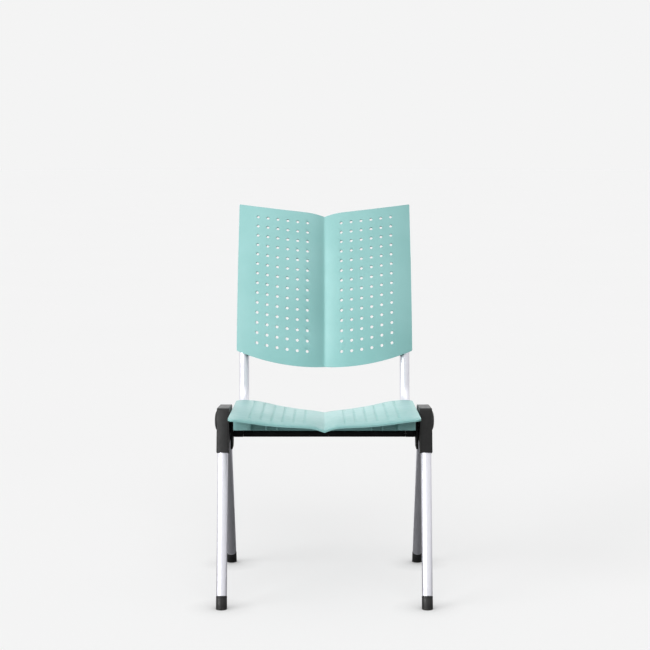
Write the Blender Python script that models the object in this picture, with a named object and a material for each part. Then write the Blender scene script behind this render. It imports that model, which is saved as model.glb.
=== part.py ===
"""Conference chair with perforated winged shells and a gently sprung tilt.

Two bent leg frames stand on glides. A plastic housing closes round the top
bend of each, and a bracket under the bend carries one end of the pivot rod.
The seat unit (two bent side tubes, seat shell, back shell) hangs on the rod
in rubber bushes and rests on a rubber bumper at each side.

Lengths are metres, +Z is up and the sitter faces -Y. Depths are measured
backwards from the front feet, and the whole chair is then centred over the
origin by one empty.
"""

import math

import bmesh
import bpy
import numpy as np
from mathutils import Matrix, Vector

# Fits
GAP = 0.0003
EASY_FIT = 0.0010
OVERRUN = 0.010

# Leg frames: one bent tube for each side
LEG_BESIDE_SEAT = 0.0185
TUBE_RADIUS = 0.0125
TUBE_WALL = 0.0018
LEG_BEND_RADIUS = 0.042
FRONT_FOOT_DEPTH = 0.0060
REAR_FOOT_DEPTH = 0.4700
HEAD_FRONT_DEPTH = 0.1233
HEAD_REAR_DEPTH = 0.2383
HEAD_BELOW_SEAT = 0.0128
HEAD_SLOPE = math.radians(4.75)

# Feet
FOOT_RADIUS = 0.0131
FOOT_HEIGHT = 0.0325
FOOT_BEVEL = 0.0015
SPIGOT_LENGTH = 0.018

# Side housings, in two halves round the tube's top bend
HOUSING_HALF_WIDTH = 0.0150
HOUSING_WALL = 0.0020
HOUSING_COVER = 0.0021
HOUSING_MARGIN = 0.0035
HOUSING_FRONT_DROP = 0.0924
HOUSING_REAR_DROP = 0.0760
HOUSING_ARCH_DROP = 0.0692
HOUSING_EDGE = 0.0025
HOUSING_FRONT_CORNER = 0.0080
HOUSING_REAR_CORNER = 0.0120
HOUSING_ARCH_CORNER = 0.0090
HOUSING_SCREW_RADIUS = 0.0016
HOUSING_SCREW_HEAD = 0.0032
HOUSING_SCREW_HEAD_HEIGHT = 0.0012
HOUSING_SCREW_LENGTH = 0.0140
PILLAR_RADIUS = 0.0040
HOUSING_SCREW_DROP = 0.0392
SCREW_BEHIND_FRONT_LEG = 0.0270
SCREW_BEFORE_REAR_LEG = 0.0220

# Crowned caps on the outer sides of the housings
CAP_RADIUS = 0.0235
CAP_CROWN = 0.0075
CAP_RIM = 0.0025
CAP_DEPTH = 0.1650
CAP_DROP = 0.0212
CAP_PIN_RADIUS = 0.0040

# Pivot: bracket plates, rod, spacer bar, lugs and bushes
PIVOT_DEPTH = 0.1600
PIVOT_BELOW_RAIL = 0.0371
ROD_RADIUS = 0.0038
NUT_RADIUS = 0.0068
NUT_THICKNESS = 0.0060
ROD_END = 0.0020
BRACKET_BESIDE_RAIL = 0.0140
BRACKET_THICKNESS = 0.0045
BRACKET_FRONT = 0.0290
BRACKET_MARGIN = 0.0030
BRACKET_FLANGE = 0.0220
FLANGE_BEHIND_PIVOT = 0.0010
FLANGE_BEFORE_BEND = 0.0263
BRACKET_BELOW = 0.0350
BRACKET_CORNER = 0.0100
CROSSBAR_RADIUS = 0.0076
CROSSBAR_WALL = 0.0018
LUG_RADIUS = 0.0080
LUG_HALF_WIDTH = 0.0106
LUG_NECK = 0.0120
BUSH_WALL = 0.0016
SLEEVE_WALL = 0.0005
BUMPER_RADIUS = 0.0045
BUMPER_LENGTH = 0.0200
BUMPER_BEFORE_PIVOT = 0.0310

# Side tubes of the seat unit
RAIL_SIDE_MARGIN = 0.0170
RAIL_FRONT_DEPTH = 0.1210
RAIL_BELOW_SEAT = 0.0288
RAIL_SLOPE = math.radians(2.45)
RAIL_BEND_RADIUS = 0.0580
UPRIGHT_TOP_SHARE = 0.80
END_CAP_THICKNESS = 0.0030

# Seat shell
SEAT_HALF_WIDTH = 0.2255
SEAT_DEPTH = 0.4300
SEAT_OVERHANG = 0.0200
SEAT_FRONT_HEIGHT = 0.4600
SEAT_FALL = 0.0204
SEAT_FRONT_CREASE = 0.0262
SEAT_REAR_CREASE = 0.0328
SEAT_LIP_DEPTH = 0.0300
SEAT_LIP_ROLL = 0.0022
SEAT_FRONT_CORNER = 0.0120
SEAT_REAR_CORNER = 0.0300

# Margins of the seat's hole pattern, to the middles of the outer holes
SEAT_PATTERN_FRONT = 0.0660
SEAT_PATTERN_REAR = 0.0234
SEAT_PATTERN_MIDDLE = 0.0479
SEAT_PATTERN_SIDE = 0.0485

# Back shell
BACK_BEHIND_SEAT = 0.0200
BACK_ABOVE_SEAT = 0.0619
BACK_HEIGHT = 0.4126
BACK_BESIDE_SEAT = 0.0022
BACK_TAPER = 0.0022
BACK_LOW_RECLINE = math.radians(5.0)
BACK_TOP_RECLINE = math.radians(28.0)
BACK_SMILE = 0.0416
BACK_TOP_FALL = 0.0259
BACK_NOTCH = 0.0081
BACK_NOTCH_HALF_WIDTH = 0.0500
BACK_CREASE = 0.0140
BACK_WING_WIDTH = 0.1277
BACK_WING_DEPTH = 0.0200
BACK_CORNER = 0.0100

# Margins of the back's hole pattern, to the middles of the outer holes
BACK_PATTERN_BOTTOM = 0.0385
BACK_PATTERN_TOP = 0.0327
BACK_PATTERN_MIDDLE = 0.0440
BACK_PATTERN_SIDE = 0.0527

# Both shells
SHELL_THICKNESS = 0.0045
HOLE_RADIUS = 0.0040
HOLE_ROWS = 14
HOLE_COLUMNS = 6
HOLE_SIDES = 6

# Moulded ribs under the seat
RIB_THICKNESS = 0.0030
RIB_FRONT_DEPTH = 0.0350
RIB_REAR_DEPTH = 0.1000
RIB_FRONT_DROP = 0.0364
RIB_REAR_DROP = 0.0478
INNER_RIB_MARGIN = 0.1145
OUTER_RIB_MARGIN = 0.0894
BLOCK_SIDE_MARGIN = 0.0105
BLOCK_WIDTH = 0.0405
SADDLE_BEHIND_PIVOT = 0.0450
SADDLE_BEFORE_SEAT_REAR = 0.0700
SADDLE_HALF_LENGTH = 0.0130
SADDLE_HALF_WIDTH = 0.0090

# Screws
SCREW_RADIUS = 0.0020
SCREW_HEAD_RADIUS = 0.0042
SCREW_HEAD_HEIGHT = 0.0024
SCREW_BITE = 0.0050

# Clips between the uprights and the back shell
CLIP_WALL = 0.0055
CLIP_WEB = 0.0045
CLIP_SEAT = 0.0012
CLIP_HALF_HEIGHT = 0.0190
CLIP_FOOT_SLANT = math.radians(23.0)
CLIP_SHARES = (0.130, 0.640)

# Share tables: places across one lobe of the seat, and how far the crease's
# depth is reached there at the front and at the rear edge
LOBE_SHARES = (0.0, 0.10, 0.28, 0.42, 0.56, 0.67, 0.80, 0.92, 1.0)
FRONT_DIP_SHARES = (1.0, 0.72, 0.58, 0.53, 0.43, 0.32, 0.16, 0.03, 0.0)
REAR_DIP_SHARES = (1.0, 0.88, 0.73, 0.58, 0.40, 0.22, 0.06, 0.01, 0.0)

# Where the lines of the shells' meshes lie beside the hole pattern
CREASE_SHARE = 0.25
MARGIN_SHARE = 0.55
CORNER_SHARE = 0.30
REAR_CORNER_SHARE = 0.10
CREASE_CELLS = 2

# Facets and small steps
TUBE_SIDES = 12
BORE_SIDES = 6
ROUND_SIDES = 12
SMALL_SIDES = 6
NUT_SIDES = 6
ARC_STEPS = 4
CAP_STEPS = 2
EDGE_STEPS = 2
RIB_STEPS = 6
UPRIGHT_POINTS = 4
CURVE_POINTS = 41
SLOPE_STEP = 0.01
MITRE_LIMIT = 0.30
ROUND_PROFILE = 0.5
SMOOTH_ANGLE = math.radians(40.0)

# Derived places
LEG_PLANE = SEAT_HALF_WIDTH + LEG_BESIDE_SEAT
RAIL_PLANE = SEAT_HALF_WIDTH - RAIL_SIDE_MARGIN
BRACKET_INNER = RAIL_PLANE + BRACKET_BESIDE_RAIL
BLOCK_OUTER = SEAT_HALF_WIDTH - BLOCK_SIDE_MARGIN
BLOCK_INNER = BLOCK_OUTER - BLOCK_WIDTH
INNER_RIB = SEAT_HALF_WIDTH - INNER_RIB_MARGIN
OUTER_RIB = SEAT_HALF_WIDTH - OUTER_RIB_MARGIN
BACK_BOTTOM_HALF_WIDTH = SEAT_HALF_WIDTH + BACK_BESIDE_SEAT
BACK_TOP_HALF_WIDTH = BACK_BOTTOM_HALF_WIDTH - BACK_TAPER
BACK_CREST = BACK_BOTTOM_HALF_WIDTH - BACK_WING_WIDTH
HEAD_HEIGHT = SEAT_FRONT_HEIGHT - HEAD_BELOW_SEAT
RAIL_FRONT_HEIGHT = SEAT_FRONT_HEIGHT - RAIL_BELOW_SEAT
PIVOT_HEIGHT = RAIL_FRONT_HEIGHT - PIVOT_BELOW_RAIL
CAP_HEIGHT = HEAD_HEIGHT - CAP_DROP
SEAT_REAR_DEPTH = SEAT_DEPTH - SEAT_OVERHANG
BACK_BOTTOM_DEPTH = SEAT_REAR_DEPTH + BACK_BEHIND_SEAT
BACK_BOTTOM_HEIGHT = SEAT_FRONT_HEIGHT + BACK_ABOVE_SEAT
RIB_FRONT_HEIGHT = SEAT_FRONT_HEIGHT - RIB_FRONT_DROP
RIB_REAR_HEIGHT = SEAT_FRONT_HEIGHT - RIB_REAR_DROP
FLANGE_FRONT_DEPTH = PIVOT_DEPTH + FLANGE_BEHIND_PIVOT
FLANGE_REAR_DEPTH = HEAD_REAR_DEPTH - FLANGE_BEFORE_BEND
SADDLE_DEPTHS = (PIVOT_DEPTH + SADDLE_BEHIND_PIVOT, SEAT_REAR_DEPTH - SADDLE_BEFORE_SEAT_REAR)
HOUSING_INNER = LEG_PLANE - HOUSING_HALF_WIDTH
HOUSING_OUTER = LEG_PLANE + HOUSING_HALF_WIDTH
BRACKET_OUTER = BRACKET_INNER + BRACKET_THICKNESS
LUG_BORE = ROD_RADIUS + SLEEVE_WALL + BUSH_WALL + 3 * GAP
SIDES = (("left", -1), ("right", 1))


def clear_scene():
    for item in list(bpy.data.objects):
        bpy.data.objects.remove(item, do_unlink=True)


def make_material(name, colour, roughness, metallic=0.0):
    material = bpy.data.materials.new(name)
    material.use_nodes = True
    shader = material.node_tree.nodes["Principled BSDF"]
    shader.inputs["Base Color"].default_value = (*colour, 1.0)
    shader.inputs["Roughness"].default_value = roughness
    shader.inputs["Metallic"].default_value = metallic
    return material


def make_empty(name, location, parent=None):
    empty = bpy.data.objects.new(name, None)
    empty.location = location
    empty.parent = parent
    bpy.context.scene.collection.objects.link(empty)
    return empty


def make_object(name, bm, material, parent, origin=Vector()):
    """Object from a closed bmesh in chair coordinates; origin is its parent's place."""
    bmesh.ops.recalc_face_normals(bm, faces=bm.faces)
    bmesh.ops.translate(bm, verts=bm.verts, vec=-origin)
    mesh = bpy.data.meshes.new(name)
    bm.to_mesh(mesh)
    bm.free()
    mesh.shade_smooth()
    mesh.set_sharp_from_angle(angle=SMOOTH_ANGLE)
    if material is not None:
        mesh.materials.append(material)
    item = bpy.data.objects.new(name, mesh)
    item.parent = parent
    bpy.context.scene.collection.objects.link(item)
    return item


def make_guide(name, bm, parent, origin=Vector()):
    """Hidden shape that is cut from a piece or added to it."""
    guide = make_object(name, bm, None, parent, origin)
    guide.hide_render = True
    guide.display_type = "WIRE"
    return guide


def combine(item, guide, operation):
    modifier = item.modifiers.new(guide.name, "BOOLEAN")
    modifier.operation = operation
    modifier.solver = "EXACT"
    modifier.object = guide


def bridge_rings(bm, outer, inner, outer_angles, inner_angles):
    """Triangles between two rings of unlike counts, walked by angle."""
    turn = 2 * math.pi
    out_count, in_count = len(outer), len(inner)
    i, j = 0, 0
    while i < out_count or j < in_count:
        next_out = outer_angles[(i + 1) % out_count] + turn * ((i + 1) // out_count)
        next_in = inner_angles[(j + 1) % in_count] + turn * ((j + 1) // in_count)
        a, b = outer[i % out_count], inner[j % in_count]
        if j >= in_count or (i < out_count and next_out <= next_in):
            bm.faces.new((a, outer[(i + 1) % out_count], b))
            i += 1
        else:
            bm.faces.new((a, inner[(j + 1) % in_count], b))
            j += 1


def ring_angles(count):
    return [2 * math.pi * step / count for step in range(count)]


def wall_between(bm, first, second):
    """Quads between two rings of the same count."""
    count = len(first)
    for k in range(count):
        bm.faces.new((first[k], first[(k + 1) % count], second[(k + 1) % count], second[k]))


def rounded_path(corners, radii, closed=False):
    """Points along straight runs whose corners are arcs of the given radii."""
    count = len(corners)
    points = []
    for index, corner in enumerate(corners):
        corner = Vector(corner)
        radius = radii[index]
        if radius == 0 or (not closed and index in (0, count - 1)):
            points.append(corner)
            continue
        back = (Vector(corners[index - 1]) - corner).normalized()
        ahead = (Vector(corners[(index + 1) % count]) - corner).normalized()
        half_angle = back.angle(ahead) / 2
        centre = corner + (back + ahead).normalized() * (radius / math.sin(half_angle))
        start = corner + back * (radius / math.tan(half_angle)) - centre
        end = corner + ahead * (radius / math.tan(half_angle)) - centre
        turn = -start.angle_signed(end)
        for step in range(ARC_STEPS + 1):
            points.append(centre + Matrix.Rotation(turn * step / ARC_STEPS, 2) @ start)
    return points


def swept_tube(path, plane, radius, bore):
    """Tube along a path of (depth, height) points in the plane x = plane."""
    bm = bmesh.new()
    across = Vector((1, 0, 0))
    rings = {radius: [], bore: []}
    runs = [(second - first).normalized() for first, second in zip(path, path[1:])]
    bends = [(into + out_of).normalized() for into, out_of in zip(runs, runs[1:])]
    for point, tangent in zip(path, [runs[0], *bends, runs[-1]]):
        normal = Vector((0, -tangent.y, tangent.x))
        centre = Vector((plane, point.x, point.y))
        for size, count in ((radius, TUBE_SIDES), (bore, BORE_SIDES)):
            if size == 0:
                continue
            turned_about = [
                centre + size * (math.cos(angle) * across + math.sin(angle) * normal)
                for angle in ring_angles(count)
            ]
            rings[size].append([bm.verts.new(place) for place in turned_about])
    for size in rings:
        for first, second in zip(rings[size], rings[size][1:]):
            wall_between(bm, first, second)
    for end in (0, -1):
        if bore == 0:
            bm.faces.new(rings[radius][end])
        else:
            bridge_rings(bm, rings[radius][end], rings[bore][end],
                         ring_angles(TUBE_SIDES), ring_angles(BORE_SIDES))
    return bm


def turned(profile, sides, closed=False):
    """Solid turned about the X axis from (place, radius) points."""
    bm = bmesh.new()
    rings = []
    for place, radius in profile:
        if radius == 0:
            rings.append([bm.verts.new((place, 0, 0))])
            continue
        rings.append([
            bm.verts.new((place, radius * math.cos(angle), radius * math.sin(angle)))
            for angle in ring_angles(sides)
        ])
    pairs = list(zip(rings, rings[1:]))
    if closed:
        pairs.append((rings[-1], rings[0]))
    for first, second in pairs:
        if len(first) == 1 or len(second) == 1:
            pole, ring = (first[0], second) if len(first) == 1 else (second[0], first)
            for k in range(sides):
                bm.faces.new((pole, ring[k], ring[(k + 1) % sides]))
        else:
            wall_between(bm, first, second)
    return bm


def rod_shape(start, end, radius, sides):
    return turned([(start, 0), (start, radius), (end, radius), (end, 0)], sides)


def sleeve_shape(start, end, radius, bore, sides):
    return turned([(start, radius), (end, radius), (end, bore), (start, bore)], sides, closed=True)


def clear_radius(radius, sides):
    """Corner radius of a faceted hole that clears a round of this radius."""
    return (radius + GAP) / math.cos(math.pi / sides)


def move(bm, matrix):
    bmesh.ops.transform(bm, matrix=matrix, verts=bm.verts)
    return bm


def at(depth, height, place=0.0):
    return Matrix.Translation((place, depth, height))


def prism(outline, start, end):
    """Outline of (depth, height) points pulled out along X."""
    bm = bmesh.new()
    first = [bm.verts.new((start, point[0], point[1])) for point in outline]
    second = [bm.verts.new((end, point[0], point[1])) for point in outline]
    wall_between(bm, first, second)
    bm.faces.new(first)
    bm.faces.new(second)
    return bm


def offset_outline(points, distance):
    """Closed outline drawn in by a distance; corners stay mitred."""
    count = len(points)
    moved = []
    for index in range(count):
        before = (points[index] - points[index - 1]).normalized()
        after = (points[(index + 1) % count] - points[index]).normalized()
        normal = Vector((-before.y - after.y, before.x + after.x)).normalized()
        stretch = max(abs(normal.x * -after.y + normal.y * after.x), MITRE_LIMIT)
        moved.append(points[index] + normal * (distance / stretch))
    return moved


# Lines of the leg frame, as points of depth and height


def head_point(depth):
    return Vector((depth, HEAD_HEIGHT - (depth - HEAD_FRONT_DEPTH) * math.tan(HEAD_SLOPE)))


def front_leg_lean():
    corner = head_point(HEAD_FRONT_DEPTH)
    return math.atan((corner.x - FRONT_FOOT_DEPTH) / corner.y)


def rear_leg_lean():
    corner = head_point(HEAD_REAR_DEPTH)
    return math.atan((REAR_FOOT_DEPTH - corner.x) / corner.y)


def front_leg_point(height):
    return Vector((FRONT_FOOT_DEPTH + height * math.tan(front_leg_lean()), height))


def rear_leg_point(height):
    return Vector((REAR_FOOT_DEPTH - height * math.tan(rear_leg_lean()), height))


def crossing(first, second, third, fourth):
    """Where the line through the first two points meets the other line."""
    run, rise = second - first, fourth - third
    offset = third - first
    share = offset.cross(rise) / run.cross(rise)
    return first + run * share


def leg_frame_path():
    corners = [front_leg_point(FOOT_HEIGHT + GAP), head_point(HEAD_FRONT_DEPTH),
               head_point(HEAD_REAR_DEPTH), rear_leg_point(FOOT_HEIGHT + GAP)]
    return rounded_path(corners, (0, LEG_BEND_RADIUS, LEG_BEND_RADIUS, 0))


def leg_frame(name, side, material, parent):
    bm = swept_tube(leg_frame_path(), side * LEG_PLANE, TUBE_RADIUS, TUBE_RADIUS - TUBE_WALL)
    return make_object(name, bm, material, parent)


def foot(name, side, low_point, lean, material, parent):
    """Glide whose body carries on the leg's line, with a spigot in the tube."""
    length = FOOT_HEIGHT / math.cos(lean)
    spigot = (TUBE_RADIUS - TUBE_WALL) * math.cos(math.pi / BORE_SIDES) - GAP
    bm = turned([
        (-OVERRUN, 0), (-OVERRUN, FOOT_RADIUS), (length - FOOT_BEVEL, FOOT_RADIUS),
        (length, FOOT_RADIUS - FOOT_BEVEL), (length, spigot),
        (length + SPIGOT_LENGTH, spigot), (length + SPIGOT_LENGTH, 0),
    ], TUBE_SIDES)
    upright = Matrix.Rotation(-math.pi / 2, 4, "Y")
    leaning = Matrix.Rotation(-lean, 4, "X")
    move(bm, at(low_point.x, low_point.y, side * LEG_PLANE) @ leaning @ upright)
    sole = bmesh.ops.bisect_plane(
        bm, geom=bm.verts[:] + bm.edges[:] + bm.faces[:],
        plane_co=Vector(), plane_no=Vector((0, 0, -1)), clear_outer=True)
    cut_edges = [part for part in sole["geom_cut"] if isinstance(part, bmesh.types.BMEdge)]
    bmesh.ops.contextual_create(bm, geom=cut_edges)
    return make_object(name, bm, material, parent)


# Side housings


def across_leg(lean, distance):
    """Step at right angles to a leg that leans back by this angle."""
    return Vector((math.cos(lean), -math.sin(lean))) * distance


def housing_outline():
    """Side view: a front sleeve, a flat arch, a rear sleeve and the top run."""
    reach = TUBE_RADIUS + HOUSING_MARGIN
    front_end = front_leg_point(HEAD_HEIGHT - HOUSING_FRONT_DROP)
    rear_end = rear_leg_point(HEAD_HEIGHT - HOUSING_REAR_DROP)
    along_front = front_leg_point(HEAD_HEIGHT) - front_leg_point(0)
    along_rear = rear_leg_point(HEAD_HEIGHT) - rear_leg_point(0)
    front_low = front_end - across_leg(front_leg_lean(), reach)
    front_tip = front_end + across_leg(front_leg_lean(), reach)
    rear_tip = rear_end - across_leg(-rear_leg_lean(), reach)
    rear_low = rear_end + across_leg(-rear_leg_lean(), reach)
    arch_front = Vector((0, HEAD_HEIGHT - HOUSING_ARCH_DROP))
    arch_rear = Vector((REAR_FOOT_DEPTH, HEAD_HEIGHT - HOUSING_ARCH_DROP))
    roof = Vector((0, reach / math.cos(HEAD_SLOPE)))
    roof_front, roof_rear = head_point(0) + roof, head_point(REAR_FOOT_DEPTH) + roof
    corners = [
        front_low,
        front_tip,
        crossing(front_tip, front_tip + along_front, arch_front, arch_rear),
        crossing(rear_tip, rear_tip + along_rear, arch_front, arch_rear),
        rear_tip,
        rear_low,
        crossing(rear_low, rear_low + along_rear, roof_front, roof_rear),
        crossing(front_low, front_low + along_front, roof_front, roof_rear),
    ]
    radii = (0, 0, HOUSING_ARCH_CORNER, HOUSING_ARCH_CORNER, 0, 0,
             HOUSING_REAR_CORNER, HOUSING_FRONT_CORNER)
    return rounded_path(corners, radii, closed=True)


def housing_screw_places():
    height = HEAD_HEIGHT - HOUSING_SCREW_DROP
    return [(front_leg_point(height).x + SCREW_BEHIND_FRONT_LEG, height),
            (rear_leg_point(height).x - SCREW_BEFORE_REAR_LEG, height)]


def housing_shell(name, side, frame_guide, material, parent):
    """Outer half: a tray open towards the seat, with two screw pillars."""
    outline = housing_outline()
    cover_line = HOUSING_INNER + HOUSING_COVER + GAP
    bm = prism(outline, side * cover_line, side * HOUSING_OUTER)
    outer_edges = [
        edge for edge in bm.edges
        if all(abs(vert.co.x) > LEG_PLANE for vert in edge.verts)
    ]
    bmesh.ops.bevel(bm, geom=outer_edges, offset=HOUSING_EDGE, segments=EDGE_STEPS,
                    profile=ROUND_PROFILE, affect="EDGES", clamp_overlap=True)
    shell = make_object(name, bm, material, parent)
    hollow = prism(offset_outline(outline, HOUSING_WALL),
                   side * (cover_line - OVERRUN), side * (HOUSING_OUTER - HOUSING_WALL))
    combine(shell, make_guide(name + "_hollow", hollow, parent), "DIFFERENCE")
    for number, (depth, height) in enumerate(housing_screw_places()):
        pillar = rod_shape(side * cover_line, side * (HOUSING_OUTER - HOUSING_WALL / 2),
                           PILLAR_RADIUS, SMALL_SIDES)
        move(pillar, at(depth, height))
        combine(shell, make_guide(f"{name}_pillar_{number}", pillar, parent), "UNION")
        pilot = rod_shape(side * (cover_line - OVERRUN),
                          side * (HOUSING_INNER + HOUSING_SCREW_LENGTH + GAP),
                          HOUSING_SCREW_RADIUS + GAP, SMALL_SIDES)
        move(pilot, at(depth, height))
        combine(shell, make_guide(f"{name}_pilot_{number}", pilot, parent), "DIFFERENCE")
    combine(shell, frame_guide, "DIFFERENCE")
    pin = rod_shape(side * LEG_PLANE, side * (HOUSING_OUTER + OVERRUN),
                    clear_radius(CAP_PIN_RADIUS, SMALL_SIDES), SMALL_SIDES)
    move(pin, at(CAP_DEPTH, CAP_HEIGHT))
    combine(shell, make_guide(name + "_pin_hole", pin, parent), "DIFFERENCE")
    return shell


def housing_cover(name, side, flange_guide, material, parent):
    """Inner half: a flat plate with a slot, a nut hole and two screw holes."""
    bm = prism(housing_outline(), side * HOUSING_INNER, side * (HOUSING_INNER + HOUSING_COVER))
    cover = make_object(name, bm, material, parent)
    combine(cover, flange_guide, "DIFFERENCE")
    holes = [(PIVOT_DEPTH, PIVOT_HEIGHT, NUT_RADIUS + EASY_FIT, ROUND_SIDES)]
    for depth, height in housing_screw_places():
        holes.append((depth, height, HOUSING_SCREW_RADIUS + GAP, SMALL_SIDES))
    for number, (depth, height, radius, sides) in enumerate(holes):
        hole = rod_shape(side * (HOUSING_INNER - OVERRUN), side * (HOUSING_INNER + OVERRUN),
                         radius, sides)
        move(hole, at(depth, height))
        combine(cover, make_guide(f"{name}_hole_{number}", hole, parent), "DIFFERENCE")
    return cover


def housing_screw(name, side, depth, height, material, parent):
    face = HOUSING_INNER - GAP
    screw = turned([
        (side * (face - HOUSING_SCREW_HEAD_HEIGHT), 0),
        (side * (face - HOUSING_SCREW_HEAD_HEIGHT), HOUSING_SCREW_HEAD),
        (side * face, HOUSING_SCREW_HEAD),
        (side * face, HOUSING_SCREW_RADIUS),
        (side * (HOUSING_INNER + HOUSING_SCREW_LENGTH), HOUSING_SCREW_RADIUS),
        (side * (HOUSING_INNER + HOUSING_SCREW_LENGTH), 0),
    ], SMALL_SIDES)
    return make_object(name, move(screw, at(depth, height)), material, parent)


def side_cap(name, side, material, parent):
    """Crowned round cap on the housing's outer face, held by its pin."""
    face = HOUSING_OUTER + GAP
    profile = [(side * (HOUSING_OUTER - HOUSING_WALL - CAP_RIM), 0),
               (side * (HOUSING_OUTER - HOUSING_WALL - CAP_RIM), CAP_PIN_RADIUS),
               (side * face, CAP_PIN_RADIUS), (side * face, CAP_RADIUS),
               (side * (face + CAP_RIM), CAP_RADIUS)]
    for step in range(1, CAP_STEPS):
        angle = math.pi / 2 * step / CAP_STEPS
        height = CAP_RIM + (CAP_CROWN - CAP_RIM) * math.sin(angle)
        profile.append((side * (face + height), CAP_RADIUS * math.cos(angle)))
    profile.append((side * (face + CAP_CROWN), 0))
    bm = turned(profile, ROUND_SIDES)
    return make_object(name, move(bm, at(CAP_DEPTH, CAP_HEIGHT)), material, parent)


# Brackets, pivot rod and spacer bar


def bracket_line(drop, front, rear):
    """Two points under the tube's top run, lowered by a distance."""
    below = Vector((0, (TUBE_RADIUS + GAP) / math.cos(HEAD_SLOPE) + drop))
    return head_point(front) - below, head_point(rear) - below


def flange_outline(ease):
    """Flange seen from the side, with room all round it."""
    top_front, top_rear = bracket_line(-ease, FLANGE_FRONT_DEPTH - ease, FLANGE_REAR_DEPTH + ease)
    low_front, low_rear = bracket_line(BRACKET_THICKNESS + ease, FLANGE_FRONT_DEPTH - ease,
                                       FLANGE_REAR_DEPTH + ease)
    return [top_rear, top_front, low_front, low_rear]


def bracket(name, side, material, parent):
    """Angle bracket: a web with the pivot hole and a flange under the tube."""
    front, rear = PIVOT_DEPTH - BRACKET_FRONT, FLANGE_REAR_DEPTH + BRACKET_MARGIN
    web_front, web_rear = bracket_line(GAP, front, rear)
    bottom = PIVOT_HEIGHT - BRACKET_BELOW
    web_outline = rounded_path(
        [web_rear, web_front, Vector((front, bottom)),
         Vector((PIVOT_DEPTH + BRACKET_FRONT, bottom)), Vector((rear, PIVOT_HEIGHT))],
        (0, BRACKET_MARGIN, BRACKET_CORNER, BRACKET_CORNER, BRACKET_CORNER), closed=True)
    plate = make_object(name, prism(web_outline, side * BRACKET_INNER, side * BRACKET_OUTER),
                        material, parent)
    flange = prism(flange_outline(0), side * (BRACKET_OUTER - BRACKET_THICKNESS / 2),
                   side * (BRACKET_OUTER + BRACKET_FLANGE))
    combine(plate, make_guide(name + "_flange", flange, parent), "UNION")
    hole = rod_shape(side * (BRACKET_INNER - OVERRUN), side * (BRACKET_OUTER + OVERRUN),
                     clear_radius(ROD_RADIUS, SMALL_SIDES), SMALL_SIDES)
    move(hole, at(PIVOT_DEPTH, PIVOT_HEIGHT))
    combine(plate, make_guide(name + "_hole", hole, parent), "DIFFERENCE")
    return plate


def flange_slot(name, side, parent):
    """Guide: the bracket's flange with an easy fit all round."""
    slot = prism(flange_outline(EASY_FIT), side * BRACKET_INNER,
                 side * (BRACKET_OUTER + BRACKET_FLANGE))
    return make_guide(name, slot, parent)


def rod_nut(name, side, material, parent):
    bm = sleeve_shape(side * (BRACKET_OUTER + GAP), side * (BRACKET_OUTER + GAP + NUT_THICKNESS),
                      NUT_RADIUS, clear_radius(ROD_RADIUS, NUT_SIDES), NUT_SIDES)
    return make_object(name, move(bm, at(PIVOT_DEPTH, PIVOT_HEIGHT)), material, parent)


def stop_bumper(name, side, material, parent):
    """Rubber post on the bracket, just under the rail's front end."""
    depth = PIVOT_DEPTH - BUMPER_BEFORE_PIVOT
    rail = rail_point(depth)
    height = rail.y - (TUBE_RADIUS + BUMPER_RADIUS + GAP) / math.cos(RAIL_SLOPE)
    bm = rod_shape(side * (BRACKET_INNER - GAP - BUMPER_LENGTH), side * (BRACKET_INNER - GAP),
                   BUMPER_RADIUS, ROUND_SIDES)
    return make_object(name, move(bm, at(depth, height)), material, parent)


# Seat unit: rails, uprights, lugs and bushes


def rail_point(depth):
    fall = (depth - RAIL_FRONT_DEPTH) * math.tan(RAIL_SLOPE)
    return Vector((depth, RAIL_FRONT_HEIGHT - fall))


def back_profile(share):
    """Depth and height of the back's side curve at a share of its height."""
    low, top = math.tan(BACK_LOW_RECLINE), math.tan(BACK_TOP_RECLINE)
    run = low * share + (top - low) * (share ** 2 - share ** 3 / 3)
    return Vector((BACK_BOTTOM_DEPTH + BACK_HEIGHT * run, BACK_BOTTOM_HEIGHT + BACK_HEIGHT * share))


def back_normal(share):
    """Unit step at right angles to the side curve, towards the rear."""
    tangent = back_profile(share + SLOPE_STEP) - back_profile(share - SLOPE_STEP)
    return Vector((tangent.y, -tangent.x)).normalized()


def lobe_depth(across):
    """How far the back's surface lies behind the crest of its lobes."""
    if across < BACK_CREST:
        return BACK_CREASE * (1 - across / BACK_CREST) ** 3
    return BACK_WING_DEPTH * ((across - BACK_CREST) / BACK_WING_WIDTH) ** 2


def wing_slope(across):
    """How steeply the back's surface runs rearwards in its wing."""
    return 2 * BACK_WING_DEPTH * (across - BACK_CREST) / BACK_WING_WIDTH ** 2


def upright_point(share):
    """Axis of the upright, behind the shell and its clips."""
    behind = Vector((lobe_depth(RAIL_PLANE), 0))
    offset = SHELL_THICKNESS + CLIP_SEAT + CLIP_WEB + TUBE_RADIUS
    return back_profile(share) + behind + back_normal(share) * offset


def clip_reach():
    """Half a clip's height, as a share of the back's height."""
    return CLIP_HALF_HEIGHT / BACK_HEIGHT


def clip_axis(share):
    """Middle of the upright's straight run in a clip, and the run's direction."""
    low, high = upright_point(share - clip_reach()), upright_point(share + clip_reach())
    return (low + high) / 2, (high - low).normalized()


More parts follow.
